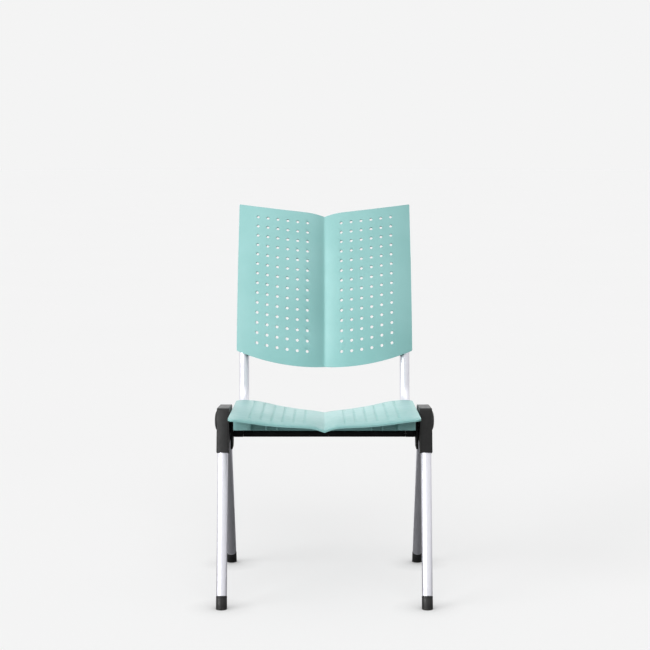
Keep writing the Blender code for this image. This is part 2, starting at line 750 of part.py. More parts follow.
def side_tube_path():
    """Rail, bend and upright; the upright is straight where a clip holds it."""
    lower, upper = CLIP_SHARES
    between = np.linspace(lower + clip_reach(), upper - clip_reach(), UPRIGHT_POINTS)
    shares = [0.0, lower - clip_reach(), *between, upper + clip_reach(), UPRIGHT_TOP_SHARE]
    upright = [upright_point(float(share)) for share in shares]
    front = rail_point(RAIL_FRONT_DEPTH)
    corner = crossing(front, rail_point(BACK_BOTTOM_DEPTH), upright[0], upright[1])
    corners = [front, corner] + upright
    radii = [0, RAIL_BEND_RADIUS] + [0] * len(upright)
    return rounded_path(corners, radii)


def pilot_hole(name, centre, direction, parent, length, radius=SCREW_RADIUS + GAP):
    """Guide: a round hole through a point in a side plane, both ways."""
    bm = rod_shape(-length, length, radius, SMALL_SIDES)
    turn = Vector((1, 0, 0)).rotation_difference(direction).to_matrix().to_4x4()
    return make_guide(name, move(bm, Matrix.Translation(centre) @ turn), parent)


def seat_screw_places(side):
    """Middle of the rail and the up direction at each seat screw."""
    up = Vector((0, math.sin(RAIL_SLOPE), math.cos(RAIL_SLOPE)))
    rail_points = [rail_point(depth) for depth in SADDLE_DEPTHS]
    return [(Vector((side * RAIL_PLANE, rail.x, rail.y)), up) for rail in rail_points]


def back_screw_places(side):
    """Middle of the upright and the forward direction at each back screw."""
    places = []
    for share in CLIP_SHARES:
        axis, up = clip_axis(share)
        centre = Vector((side * RAIL_PLANE, axis.x, axis.y))
        places.append((centre, Vector((0, -up.y, up.x))))
    return places


def side_tube(name, side, material, parent, origin):
    bm = swept_tube(side_tube_path(), side * RAIL_PLANE, TUBE_RADIUS, TUBE_RADIUS - TUBE_WALL)
    tube = make_object(name, bm, material, parent, origin)
    places = seat_screw_places(side) + back_screw_places(side)
    for number, (centre, direction) in enumerate(places):
        hole = pilot_hole(f"{name}_hole_{number}", centre - origin, direction, parent,
                          TUBE_RADIUS + OVERRUN)
        combine(tube, hole, "DIFFERENCE")
    return tube


def tube_screw(name, centre, direction, bite, material, parent, origin):
    """Screw through the middle of a side tube, its head against the tube."""
    head = TUBE_RADIUS + GAP
    screw = turned([
        (-head - SCREW_HEAD_HEIGHT, 0), (-head - SCREW_HEAD_HEIGHT, SCREW_HEAD_RADIUS),
        (-head, SCREW_HEAD_RADIUS), (-head, SCREW_RADIUS), (head + bite, SCREW_RADIUS),
        (head + bite, 0),
    ], SMALL_SIDES)
    turn = Vector((1, 0, 0)).rotation_difference(direction).to_matrix().to_4x4()
    move(screw, Matrix.Translation(centre) @ turn)
    return make_object(name, screw, material, parent, origin)


def end_cap(name, side, point, direction, material, parent, origin):
    """Round cap on a tube's end, with a spigot in its bore."""
    spigot = (TUBE_RADIUS - TUBE_WALL) * math.cos(math.pi / BORE_SIDES) - GAP
    bm = turned([
        (END_CAP_THICKNESS + GAP, 0), (END_CAP_THICKNESS + GAP, TUBE_RADIUS - FOOT_BEVEL),
        (END_CAP_THICKNESS + GAP - FOOT_BEVEL, TUBE_RADIUS), (GAP, TUBE_RADIUS),
        (GAP, spigot), (-SPIGOT_LENGTH, spigot), (-SPIGOT_LENGTH, 0),
    ], TUBE_SIDES)
    outward = Vector((0, direction.x, direction.y))
    turn = Vector((1, 0, 0)).rotation_difference(outward).to_matrix().to_4x4()
    centre = Vector((side * RAIL_PLANE, point.x, point.y))
    return make_object(name, move(bm, Matrix.Translation(centre) @ turn), material, parent, origin)


def pivot_lug(name, side, material, parent, origin):
    """Eye round the bush, with a neck that reaches up to the rail."""
    below = (TUBE_RADIUS + GAP) / math.cos(RAIL_SLOPE)
    neck_front = rail_point(PIVOT_DEPTH - LUG_NECK) - Vector((0, below))
    neck_rear = rail_point(PIVOT_DEPTH + LUG_NECK) - Vector((0, below))
    outline = [neck_rear, neck_front]
    for step in range(ROUND_SIDES // 2 + 1):
        angle = math.pi + math.pi * step / (ROUND_SIDES // 2)
        outline.append(Vector((PIVOT_DEPTH + LUG_RADIUS * math.cos(angle),
                               PIVOT_HEIGHT + LUG_RADIUS * math.sin(angle))))
    start, end = RAIL_PLANE - LUG_HALF_WIDTH, RAIL_PLANE + LUG_HALF_WIDTH
    lug = make_object(name, prism(outline, side * start, side * end), material, parent, origin)
    bore = rod_shape(side * (start - OVERRUN), side * (end + OVERRUN), LUG_BORE, ROUND_SIDES)
    move(bore, at(PIVOT_DEPTH - origin.y, PIVOT_HEIGHT - origin.z))
    combine(lug, make_guide(name + "_bore", bore, parent), "DIFFERENCE")
    return lug


def on_pivot(name, bm, material, parent, origin=Vector()):
    return make_object(name, move(bm, at(PIVOT_DEPTH, PIVOT_HEIGHT)), material, parent, origin)


def back_clip(name, side, share, material, parent, origin):
    """Saddle between shell and upright; its foot follows the shell's lower edge."""
    groove = TUBE_RADIUS + GAP
    slant = wing_slope(RAIL_PLANE) * back_normal(share).x
    reach = groove + CLIP_WALL
    front = TUBE_RADIUS + CLIP_WEB
    profile = [(-reach, 0), (-reach, front + slant * reach), (reach, front - slant * reach),
               (reach, 0)]
    steps = TUBE_SIDES // 2
    for step in range(steps + 1):
        angle = math.pi * step / steps
        profile.append((groove * math.cos(angle), groove * math.sin(angle)))
    bm = bmesh.new()
    axis, up = clip_axis(share)
    upward = Vector((0, up.x, up.y))
    forward = Vector((0, -up.y, up.x))
    centre = Vector((side * RAIL_PLANE, axis.x, axis.y))
    rows = []
    for end, slant_up in ((-CLIP_HALF_HEIGHT, math.tan(CLIP_FOOT_SLANT)), (CLIP_HALF_HEIGHT, 0)):
        rows.append([
            bm.verts.new(centre + Vector((side * across, 0, 0)) + forward * ahead
                         + upward * (end + across * slant_up))
            for across, ahead in profile
        ])
    wall_between(bm, rows[0], rows[1])
    bm.faces.new(rows[0])
    bm.faces.new(rows[1])
    clip = make_object(name, bm, material, parent, origin)
    hole = pilot_hole(name + "_hole", centre - origin, forward, parent, reach + OVERRUN)
    combine(clip, hole, "DIFFERENCE")
    return clip


# Shells


def smooth_share(place, places, values):
    """Smooth curve through the share table, with its slopes from neighbours."""
    slopes = np.gradient(np.array(values), np.array(places))
    index = int(np.clip(np.searchsorted(places, place) - 1, 0, len(places) - 2))
    width = places[index + 1] - places[index]
    t = (place - places[index]) / width
    first = (2 * t ** 3 - 3 * t ** 2 + 1) * values[index]
    second = (t ** 3 - 2 * t ** 2 + t) * width * slopes[index]
    third = (3 * t ** 2 - 2 * t ** 3) * values[index + 1]
    fourth = (t ** 3 - t ** 2) * width * slopes[index + 1]
    return first + second + third + fourth


def corner_limit(half_width, radius, distance):
    """Half width left at a distance from an edge with a rounded corner."""
    if distance >= radius:
        return half_width
    return half_width - radius + math.sqrt(radius ** 2 - (radius - distance) ** 2)


def drawn_in(across, half_width, limit, pattern_edge):
    """Places outside the hole pattern move in with the rounded corner."""
    size = abs(across)
    if size <= pattern_edge:
        return across
    share = (size - pattern_edge) / (half_width - pattern_edge)
    return math.copysign(pattern_edge + share * (limit - pattern_edge), across)


def cell_lines(first, last, count):
    """Lines that part a row of holes spread evenly from the first to the last."""
    pitch = (last - first) / (count - 1)
    return [first - pitch / 2 + step * pitch for step in range(count + 1)]


def seat_columns():
    return SEAT_PATTERN_MIDDLE, SEAT_HALF_WIDTH - SEAT_PATTERN_SIDE, HOLE_COLUMNS


def back_columns():
    return BACK_PATTERN_MIDDLE, BACK_BOTTOM_HALF_WIDTH - BACK_PATTERN_SIDE, HOLE_COLUMNS


def seat_height(across, along):
    """Top of the seat at a place across and a distance from its front edge."""
    share = along / SEAT_DEPTH
    place = min(abs(across) / SEAT_HALF_WIDTH, 1.0)
    front_dip = SEAT_FRONT_CREASE * smooth_share(place, LOBE_SHARES, FRONT_DIP_SHARES)
    rear_dip = SEAT_REAR_CREASE * smooth_share(place, LOBE_SHARES, REAR_DIP_SHARES)
    roll = SEAT_LIP_ROLL * max(1 - along / SEAT_LIP_DEPTH, 0) ** 2
    return (SEAT_FRONT_HEIGHT - SEAT_FALL * share - roll
            - front_dip * (1 - share) - rear_dip * share)


def seat_point(across, along):
    front = corner_limit(SEAT_HALF_WIDTH, SEAT_FRONT_CORNER, along)
    rear = corner_limit(SEAT_HALF_WIDTH, SEAT_REAR_CORNER, SEAT_DEPTH - along)
    pattern_edge = cell_lines(*seat_columns())[-1]
    across = drawn_in(across, SEAT_HALF_WIDTH, min(front, rear), pattern_edge)
    return Vector((across, along - SEAT_OVERHANG, seat_height(across, along)))


def back_lengths():
    """Table of the side curve: share of height against length along it."""
    shares = np.linspace(0.0, 1.0, CURVE_POINTS)
    points = [back_profile(float(share)) for share in shares]
    steps = [(second - first).length for first, second in zip(points, points[1:])]
    return shares, np.concatenate(([0.0], np.cumsum(steps)))


def back_edges(across, lengths):
    """Lengths along the side curve of the smile-shaped and the notched edge."""
    smile_radius = (BACK_BOTTOM_HALF_WIDTH ** 2 + BACK_SMILE ** 2) / (2 * BACK_SMILE)
    bottom = smile_radius - math.sqrt(smile_radius ** 2 - across ** 2)
    notch = BACK_NOTCH * max(1 - across / BACK_NOTCH_HALF_WIDTH, 0) ** 2
    top = lengths[-1] - BACK_TOP_FALL * (1 - across / BACK_TOP_HALF_WIDTH) - notch
    return bottom, top


def back_point(across, along, table):
    """Front of the back shell: along runs from 0 at the bottom edge to 1."""
    shares, lengths = table
    bottom, top = back_edges(abs(across), lengths)
    half_width = BACK_BOTTOM_HALF_WIDTH + along * (BACK_TOP_HALF_WIDTH - BACK_BOTTOM_HALF_WIDTH)
    limit = corner_limit(half_width, BACK_CORNER, min(along, 1 - along) * (top - bottom))
    pattern_edge = cell_lines(*back_columns())[-1]
    across = drawn_in(across, BACK_BOTTOM_HALF_WIDTH, limit, pattern_edge)
    bottom, top = back_edges(abs(across), lengths)
    share = float(np.interp(bottom + along * (top - bottom), lengths, shares))
    place = back_profile(share)
    return Vector((across, place.x + lobe_depth(abs(across)), place.y))


def column_lines(columns, half_width):
    """Lines across the whole shell: both lobes, the crease and the margins."""
    lobe = cell_lines(*columns)
    margin = half_width - lobe[-1]
    positive = [columns[0] * CREASE_SHARE] + lobe + [lobe[-1] + margin * MARGIN_SHARE, half_width]
    return [-place for place in reversed(positive)] + [0.0] + positive


def perforated_sheet(columns, rows, hole_rows, surface, stretch):
    """Sheet over the given lines, with a round hole in each pattern cell."""
    bm = bmesh.new()
    grid = [[bm.verts.new(surface(x, y)) for x in columns] for y in rows]
    corner_angles = [math.radians(turn) for turn in (-135, -45, 45, 135)]
    hole_angles = [angle - math.pi for angle in ring_angles(HOLE_SIDES)]
    middle = len(columns) // 2
    for row in range(len(rows) - 1):
        for column in range(len(columns) - 1):
            corners = [grid[row][column], grid[row][column + 1],
                       grid[row + 1][column + 1], grid[row + 1][column]]
            from_middle = column - middle if column >= middle else middle - 1 - column
            in_lobe = CREASE_CELLS <= from_middle < CREASE_CELLS + HOLE_COLUMNS
            if not (in_lobe and row in hole_rows):
                bm.faces.new(corners)
                continue
            x = (columns[column] + columns[column + 1]) / 2
            y = (rows[row] + rows[row + 1]) / 2
            hole = [
                bm.verts.new(surface(x + HOLE_RADIUS * math.cos(angle),
                                     y + HOLE_RADIUS * math.sin(angle) * stretch))
                for angle in hole_angles
            ]
            bridge_rings(bm, corners, hole, corner_angles, hole_angles)
    return bm


def shell_object(name, bm, facing, material, parent, origin):
    """Sheet turned to face one way and given its thickness behind."""
    bmesh.ops.recalc_face_normals(bm, faces=bm.faces)
    bm.normal_update()
    if sum((face.normal * face.calc_area() for face in bm.faces), Vector()).dot(facing) < 0:
        bmesh.ops.reverse_faces(bm, faces=bm.faces)
    bmesh.ops.translate(bm, verts=bm.verts, vec=-origin)
    mesh = bpy.data.meshes.new(name)
    bm.to_mesh(mesh)
    bm.free()
    mesh.shade_smooth()
    mesh.materials.append(material)
    shell = bpy.data.objects.new(name, mesh)
    shell.parent = parent
    bpy.context.scene.collection.objects.link(shell)
    solid = shell.modifiers.new("thickness", "SOLIDIFY")
    solid.thickness = SHELL_THICKNESS
    solid.offset = -1.0
    solid.use_even_offset = True
    return shell


def under_seat_block(start, end, front, rear, low_front, low_rear, steps=1):
    """Block between two planes, from a sloping underside up into the shell."""
    bm = bmesh.new()
    rings = []
    for x in np.linspace(start, end, steps + 1):
        top_front, top_rear = [
            seat_height(x, depth + SEAT_OVERHANG) - SHELL_THICKNESS / 2 for depth in (front, rear)
        ]
        corners = ((front, low_front), (rear, low_rear), (rear, top_rear), (front, top_front))
        rings.append([bm.verts.new((x, depth, height)) for depth, height in corners])
    for first, second in zip(rings, rings[1:]):
        wall_between(bm, first, second)
    bm.faces.new(rings[0])
    bm.faces.new(rings[-1])
    return bm


def seat_shell(name, material, parent, origin):
    rows = [0.0, SEAT_FRONT_CORNER * CORNER_SHARE, SEAT_FRONT_CORNER, SEAT_LIP_DEPTH]
    rows_before = len(rows)
    rows += cell_lines(SEAT_PATTERN_FRONT, SEAT_DEPTH - SEAT_PATTERN_REAR, HOLE_ROWS)
    rows += [SEAT_DEPTH - SEAT_REAR_CORNER * REAR_CORNER_SHARE, SEAT_DEPTH]
    hole_rows = range(rows_before, rows_before + HOLE_ROWS)
    columns = column_lines(seat_columns(), SEAT_HALF_WIDTH)
    sheet = perforated_sheet(columns, rows, hole_rows, seat_point, 1.0)
    shell = shell_object(name, sheet, Vector((0, 0, 1)), material, parent, origin)

    def add_block(label, *sizes):
        block = under_seat_block(*sizes)
        bmesh.ops.translate(block, verts=block.verts, vec=-origin)
        combine(shell, make_guide(f"{name}_{label}", block, parent), "UNION")

    add_block("cross_rib", -BLOCK_INNER - RIB_THICKNESS, BLOCK_INNER + RIB_THICKNESS,
              RIB_REAR_DEPTH - RIB_THICKNESS, RIB_REAR_DEPTH, RIB_REAR_HEIGHT, RIB_REAR_HEIGHT,
              RIB_STEPS)
    for side_name, side in SIDES:
        add_block(f"{side_name}_block", side * BLOCK_INNER, side * BLOCK_OUTER,
                  RIB_FRONT_DEPTH, RIB_REAR_DEPTH - GAP, RIB_FRONT_HEIGHT, RIB_REAR_HEIGHT - GAP)
        for number, place in enumerate((INNER_RIB, OUTER_RIB)):
            add_block(f"{side_name}_rib_{number}", side * place, side * (place + RIB_THICKNESS),
                      RIB_FRONT_DEPTH + GAP, RIB_REAR_DEPTH - RIB_THICKNESS / 2,
                      RIB_FRONT_HEIGHT + GAP, RIB_REAR_HEIGHT + GAP)
        for number, depth in enumerate(SADDLE_DEPTHS):
            lift = Vector((0, (TUBE_RADIUS + GAP) / math.cos(RAIL_SLOPE)))
            front = rail_point(depth - SADDLE_HALF_LENGTH) + lift
            rear = rail_point(depth + SADDLE_HALF_LENGTH) + lift
            add_block(f"{side_name}_saddle_{number}", side * (RAIL_PLANE - SADDLE_HALF_WIDTH),
                      side * (RAIL_PLANE + SADDLE_HALF_WIDTH), front.x, rear.x, front.y, rear.y)
        for number, (centre, direction) in enumerate(seat_screw_places(side)):
            start = centre - origin + direction * (TUBE_RADIUS + SCREW_BITE / 2)
            hole = pilot_hole(f"{name}_{side_name}_pilot_{number}", start, direction, parent,
                              SCREW_BITE / 2 + 3 * GAP)
            combine(shell, hole, "DIFFERENCE")
    return shell


def back_shell(name, material, parent, origin):
    table = back_lengths()
    columns = column_lines(back_columns(), BACK_BOTTOM_HALF_WIDTH)
    innermost, outermost, _ = back_columns()
    bottom, top = back_edges((innermost + outermost) / 2, table[1])
    length = top - bottom
    rows = [0.0, BACK_CORNER * CORNER_SHARE, BACK_CORNER]
    rows_before = len(rows)
    rows += cell_lines(BACK_PATTERN_BOTTOM, length - BACK_PATTERN_TOP, HOLE_ROWS)
    rows += [length - BACK_CORNER, length - BACK_CORNER * CORNER_SHARE, length]
    rows = [row / length for row in rows]
    hole_rows = range(rows_before, rows_before + HOLE_ROWS)
    sheet = perforated_sheet(columns, rows, hole_rows,
                             lambda x, y: back_point(x, y, table), 1.0 / length)
    return shell_object(name, sheet, Vector((0, -1, 0)), material, parent, origin)


def chair_middle():
    """Middle of the chair's depth, from the seat's front to the back's top corner."""
    corner = back_profile(1.0) + back_normal(1.0) * SHELL_THICKNESS
    rear = corner.x + lobe_depth(BACK_TOP_HALF_WIDTH - BACK_CORNER)
    return (rear - SEAT_OVERHANG) / 2


def build_chair():
    clear_scene()
    silver = make_material("silver_coat", (0.78, 0.78, 0.80), 0.35, 0.6)
    black_coat = make_material("black_coat", (0.02, 0.02, 0.022), 0.45)
    black_plastic = make_material("black_plastic", (0.03, 0.03, 0.032), 0.55)
    rubber = make_material("black_rubber", (0.018, 0.018, 0.018), 0.8)
    teal = make_material("teal_plastic", (0.33, 0.64, 0.62), 0.5)
    steel = make_material("zinc_steel", (0.55, 0.56, 0.58), 0.35, 1.0)

    middle = chair_middle()
    base = make_empty("chair_base", (0, -middle, 0))
    pivot = Vector((0, PIVOT_DEPTH, PIVOT_HEIGHT))
    tilt = make_empty("tilt_axis", pivot, base)

    for label, side in SIDES:
        leg_frame(f"{label}_leg_frame", side, silver, base)
        foot(f"{label}_front_foot", side, front_leg_point(0), front_leg_lean(), black_plastic, base)
        foot(f"{label}_rear_foot", side, rear_leg_point(0), -rear_leg_lean(), black_plastic, base)
        fat_tube = swept_tube(leg_frame_path(), side * LEG_PLANE, TUBE_RADIUS + GAP, 0)
        frame_guide = make_guide(f"{label}_tube_room", fat_tube, base)
        housing_shell(f"{label}_housing_shell", side, frame_guide, black_plastic, base)
        slot = flange_slot(f"{label}_flange_slot", side, base)
        housing_cover(f"{label}_housing_cover", side, slot, black_plastic, base)
        side_cap(f"{label}_side_cap", side, black_plastic, base)
        bracket(f"{label}_bracket", side, black_coat, base)
        rod_nut(f"{label}_rod_nut", side, steel, base)
        stop_bumper(f"{label}_stop_bumper", side, rubber, base)
        for place, (depth, height) in zip(("front", "rear"), housing_screw_places()):
            housing_screw(f"{label}_{place}_housing_screw", side, depth, height, steel, base)
        sleeve = sleeve_shape(side * (RAIL_PLANE - LUG_HALF_WIDTH - GAP),
                              side * (BRACKET_INNER - GAP),
                              ROD_RADIUS + GAP + SLEEVE_WALL, ROD_RADIUS + GAP, ROUND_SIDES)
        on_pivot(f"{label}_bush_sleeve", sleeve, steel, base)
    rod_end = BRACKET_OUTER + GAP + NUT_THICKNESS + ROD_END
    on_pivot("pivot_rod", rod_shape(-rod_end, rod_end, ROD_RADIUS, ROUND_SIDES), steel, base)
    bar_end = RAIL_PLANE - LUG_HALF_WIDTH - 2 * GAP
    bar = sleeve_shape(-bar_end, bar_end, CROSSBAR_RADIUS, CROSSBAR_RADIUS - CROSSBAR_WALL, ROUND_SIDES)
    on_pivot("crossbar", bar, black_coat, base)

    for label, side in SIDES:
        side_tube(f"{label}_side_tube", side, silver, tilt, pivot)
        pivot_lug(f"{label}_pivot_lug", side, black_coat, tilt, pivot)
        bush = sleeve_shape(side * (RAIL_PLANE - LUG_HALF_WIDTH), side * (RAIL_PLANE + LUG_HALF_WIDTH),
                            LUG_BORE - GAP, LUG_BORE - GAP - BUSH_WALL, ROUND_SIDES)
        on_pivot(f"{label}_rubber_bush", bush, rubber, tilt, pivot)
        path = side_tube_path()
        end_cap(f"{label}_rail_cap", side, path[0], path[0] - path[1], black_plastic, tilt, pivot)
        end_cap(f"{label}_upright_cap", side, path[-1], path[-1] - path[-2], black_plastic,
                tilt, pivot)
        for level, share in zip(("lower", "upper"), CLIP_SHARES):
            back_clip(f"{label}_{level}_clip", side, share, black_plastic, tilt, pivot)
        for place, (centre, direction) in zip(("front", "rear"), seat_screw_places(side)):
            tube_screw(f"{label}_{place}_seat_screw", centre, direction, SCREW_BITE,
                       steel, tilt, pivot)
        for place, (centre, direction) in zip(("lower", "upper"), back_screw_places(side)):
            tube_screw(f"{label}_{place}_back_screw", centre, direction,
                       CLIP_WEB - SCREW_HEAD_HEIGHT, steel, tilt, pivot)
    seat_shell("seat_shell", teal, tilt, pivot)
    back_shell("back_shell", teal, tilt, pivot)


build_chair()
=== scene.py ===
"""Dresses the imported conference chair: moulded shells with round perforations,
coated tubes, textured plastic housings, rubber parts and plated fasteners.

Places are metres. In a side view a point is a Vector of depth, measured
backwards from the front feet, and height above the floor. Left and right are
as seen from the front.
"""

import math

import bmesh
import bpy
import numpy as np
from mathutils import Matrix, Vector


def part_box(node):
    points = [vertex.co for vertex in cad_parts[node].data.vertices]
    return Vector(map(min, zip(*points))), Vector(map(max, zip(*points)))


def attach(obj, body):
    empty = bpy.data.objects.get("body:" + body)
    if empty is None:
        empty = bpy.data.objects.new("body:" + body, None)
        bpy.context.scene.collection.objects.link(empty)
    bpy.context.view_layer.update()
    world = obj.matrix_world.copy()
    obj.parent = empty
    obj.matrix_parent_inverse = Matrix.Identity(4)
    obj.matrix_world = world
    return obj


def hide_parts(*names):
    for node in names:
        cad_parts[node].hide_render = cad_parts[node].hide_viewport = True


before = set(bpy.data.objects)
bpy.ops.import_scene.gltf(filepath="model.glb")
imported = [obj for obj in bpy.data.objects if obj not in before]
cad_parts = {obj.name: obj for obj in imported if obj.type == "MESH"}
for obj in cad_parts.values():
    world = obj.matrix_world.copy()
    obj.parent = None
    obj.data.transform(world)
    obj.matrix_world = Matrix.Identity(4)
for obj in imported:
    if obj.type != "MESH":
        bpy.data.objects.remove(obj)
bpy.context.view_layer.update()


def middle_of(node):
    low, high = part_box(node)
    return (low + high) / 2


def size_of(node):
    low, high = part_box(node)
    return high - low


SIDES = (("left", -1), ("right", 1))

# Sizes and places read from the frame
PIVOT = middle_of("pivot_rod")
LEG_PLANE = middle_of("right_leg_frame").x
RAIL_PLANE = middle_of("right_side_tube").x
TUBE_RADIUS = size_of("right_leg_frame").x / 2
CROSSBAR_RADIUS = size_of("crossbar").z / 2
CROSSBAR_HALF_LENGTH = size_of("crossbar").x / 2
HOUSING_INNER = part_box("right_housing_cover")[0].x
HOUSING_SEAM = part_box("right_housing_cover")[1].x
HOUSING_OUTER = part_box("right_housing_shell")[1].x
FOOT_RADIUS = size_of("right_front_foot").x / 2
BRACKET_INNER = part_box("right_bracket")[0].x
BRACKET_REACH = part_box("right_bracket")[1].x
LUG_HALF_WIDTH = size_of("right_pivot_lug").x / 2
CAP_RADIUS = size_of("right_side_cap").z / 2
CAP_PLACE = middle_of("right_side_cap")
CAP_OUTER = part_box("right_side_cap")[1].x
NUT_THICKNESS = size_of("right_rod_nut").x
BUMPER_PLACE = middle_of("right_stop_bumper")
BUMPER_LENGTH = size_of("right_stop_bumper").x
BUMPER_RADIUS = size_of("right_stop_bumper").z / 2

# Feet
FOOT_HEIGHT = 0.0298
FOOT_SEAM_SHARE = 0.80
FOOT_GROOVE = 0.0005
FOOT_RIM = 0.0015
FOOT_EDGE = 0.0005
# A foot is made this much too long, and its sole is then cut flat at the floor
FOOT_BELOW_FLOOR = 0.0100
SCUFF_HEIGHT = 0.007

# Side view of the frame, as in the solids
PIVOT_DEPTH = 0.1600
DEPTH_SHIFT = PIVOT.y - PIVOT_DEPTH
FRONT_FOOT_DEPTH = 0.0060
REAR_FOOT_DEPTH = 0.4700
HEAD_FRONT_DEPTH = 0.1233
HEAD_REAR_DEPTH = 0.2383
RAIL_FRONT_HEIGHT = PIVOT.z + 0.0371
SEAT_FRONT_HEIGHT = RAIL_FRONT_HEIGHT + 0.0288
HEAD_HEIGHT = SEAT_FRONT_HEIGHT - 0.0128
HEAD_SLOPE = math.radians(4.75)
LEG_BEND_RADIUS = 0.042
GAP = 0.0003

# Housings
HOUSING_MARGIN = 0.0035
HOUSING_FRONT_HEIGHT = HEAD_HEIGHT - 0.0900
HOUSING_REAR_HEIGHT = HEAD_HEIGHT - 0.0760
HOUSING_ARCH_HEIGHT = HEAD_HEIGHT - 0.0692
HOUSING_EDGE = 0.0025
HOUSING_CROWN = 0.0050
HOUSING_FRONT_CORNER = 0.0080
HOUSING_REAR_CORNER = 0.0120
HOUSING_ARCH_CORNER = 0.0090
HOUSING_SCREW_HEIGHT = HEAD_HEIGHT - 0.0392
SCREW_BEHIND_FRONT_LEG = 0.0270
SCREW_BEFORE_REAR_LEG = 0.0220
FINE_EDGE = 0.0004

# Side caps: the stub's length and radius, then the disc's places and bevel
CAP_STUB = 0.0040
CAP_BACK = 0.0004
CAP_BEVEL = 0.0006
CAP_RIM_START = 0.0009
CAP_RIM_END = 0.0022

# Brackets, nuts and bumpers
BRACKET_THICKNESS = 0.0045
BRACKET_FRONT = 0.0290
BRACKET_MARGIN = 0.0030
FLANGE_FRONT_DEPTH = PIVOT_DEPTH + 0.0010
FLANGE_REAR_DEPTH = HEAD_REAR_DEPTH - 0.0263
BRACKET_BELOW = 0.0350
BRACKET_CORNER = 0.0100
METAL_EDGE = 0.0006
NUT_EDGE = 0.0005
BUMPER_RIM = 0.0012

# Screws: radius and height of the head, radius of the shank
HOUSING_SCREW = (0.0032, 0.0012, 0.0016)
TUBE_SCREW = (0.0042, 0.0024, 0.0020)
SHANK_LENGTH = 0.0040
# Shares of the head's radius that are flat and that stay as a ring, and of its height sunk
SCREW_FLAT_SHARE = 0.55
SCREW_RING_SHARE = 0.15
SCREW_SUNK_SHARE = 0.5

# Seat unit's tubes
RAIL_FRONT_DEPTH = 0.1210
RAIL_SLOPE = math.radians(2.45)
RAIL_BEND_RADIUS = 0.0580
UPRIGHT_TOP_SHARE = 0.80
LUG_RADIUS = 0.0080
LUG_NECK = 0.0120
END_CAP_THICKNESS = 0.0030
END_CAP_RIM = 0.0014

# Seat shell
SEAT_HALF_WIDTH = RAIL_PLANE + 0.0170
SEAT_DEPTH = 0.4300
SEAT_OVERHANG = 0.0200
SEAT_REAR_DEPTH = SEAT_DEPTH - SEAT_OVERHANG
SEAT_FALL = 0.0204
SEAT_FRONT_CREASE = 0.0262
SEAT_REAR_CREASE = 0.0328
SEAT_LIP_DEPTH = 0.0300
SEAT_LIP_ROLL = 0.0022
SEAT_FRONT_CORNER = 0.0120
SEAT_REAR_CORNER = 0.0300
SEAT_PATTERN_FRONT = 0.0660
SEAT_PATTERN_REAR = 0.0234
SEAT_PATTERN_MIDDLE = 0.0479
SEAT_PATTERN_SIDE = 0.0485
LOBE_SHARES = (0.0, 0.10, 0.28, 0.42, 0.56, 0.67, 0.80, 0.92, 1.0)
FRONT_DIP_SHARES = (1.0, 0.72, 0.58, 0.53, 0.43, 0.32, 0.16, 0.03, 0.0)
REAR_DIP_SHARES = (1.0, 0.88, 0.73, 0.58, 0.40, 0.22, 0.06, 0.01, 0.0)

# Back shell
BACK_BOTTOM_DEPTH = SEAT_REAR_DEPTH + 0.0200
BACK_BOTTOM_HEIGHT = SEAT_FRONT_HEIGHT + 0.0619
BACK_HEIGHT = 0.4126
BACK_BOTTOM_HALF_WIDTH = SEAT_HALF_WIDTH + 0.0022
BACK_TOP_HALF_WIDTH = BACK_BOTTOM_HALF_WIDTH - 0.0022
BACK_LOW_RECLINE = math.radians(5.0)
BACK_TOP_RECLINE = math.radians(28.0)
BACK_SMILE = 0.0416
BACK_TOP_FALL = 0.0288
BACK_NOTCH = 0.0081
BACK_NOTCH_HALF_WIDTH = 0.0500
BACK_CREASE = 0.0140
BACK_CREASE_SWELL = 0.0075
BACK_WING_WIDTH = 0.1277
BACK_CREST = BACK_BOTTOM_HALF_WIDTH - BACK_WING_WIDTH
BACK_WING_DEPTH = 0.0200
BACK_CORNER = 0.0030
BACK_EDGE_DROP = 0.0020
BACK_PATTERN_BOTTOM = 0.0405
BACK_PATTERN_TOP = 0.0302
BACK_PATTERN_MIDDLE = 0.0440
BACK_PATTERN_SIDE = 0.0527
BACK_TABLE_START = -0.02
BACK_TABLE_POINTS = 103

# Both shells
SHELL_THICKNESS = 0.0045
SHELL_EDGE = 0.0009
HOLE_RADIUS = 0.0040
HOLE_ROWS = 14
HOLE_COLUMNS = 6
HOLE_SIDES = 12

# Ribs and blocks under the seat
RIB_THICKNESS = 0.0030
RIB_FRONT_DEPTH = 0.0350
RIB_REAR_DEPTH = 0.1000
RIB_FRONT_HEIGHT = SEAT_FRONT_HEIGHT - 0.0364
RIB_REAR_HEIGHT = SEAT_FRONT_HEIGHT - 0.0478
RIB_HALF_WIDTHS = (SEAT_HALF_WIDTH - 0.1145, SEAT_HALF_WIDTH - 0.0894)
BLOCK_OUTER = SEAT_HALF_WIDTH - 0.0105
BLOCK_INNER = BLOCK_OUTER - 0.0405
SADDLE_DEPTHS = (PIVOT_DEPTH + 0.0450, SEAT_REAR_DEPTH - 0.0700)
SADDLE_HALF_LENGTH = 0.0130
SADDLE_HALF_WIDTH = 0.0090
RIB_EDGE = 0.0008

# Clips
CLIP_WALL = 0.0055
CLIP_WEB = 0.0045
CLIP_SEAT = 0.0012
CLIP_HALF_HEIGHT = 0.0190
CLIP_FOOT_SLANT = math.radians(23.0)
CLIP_SHARES = (0.130, 0.640)
CLIP_EDGE = 0.0006

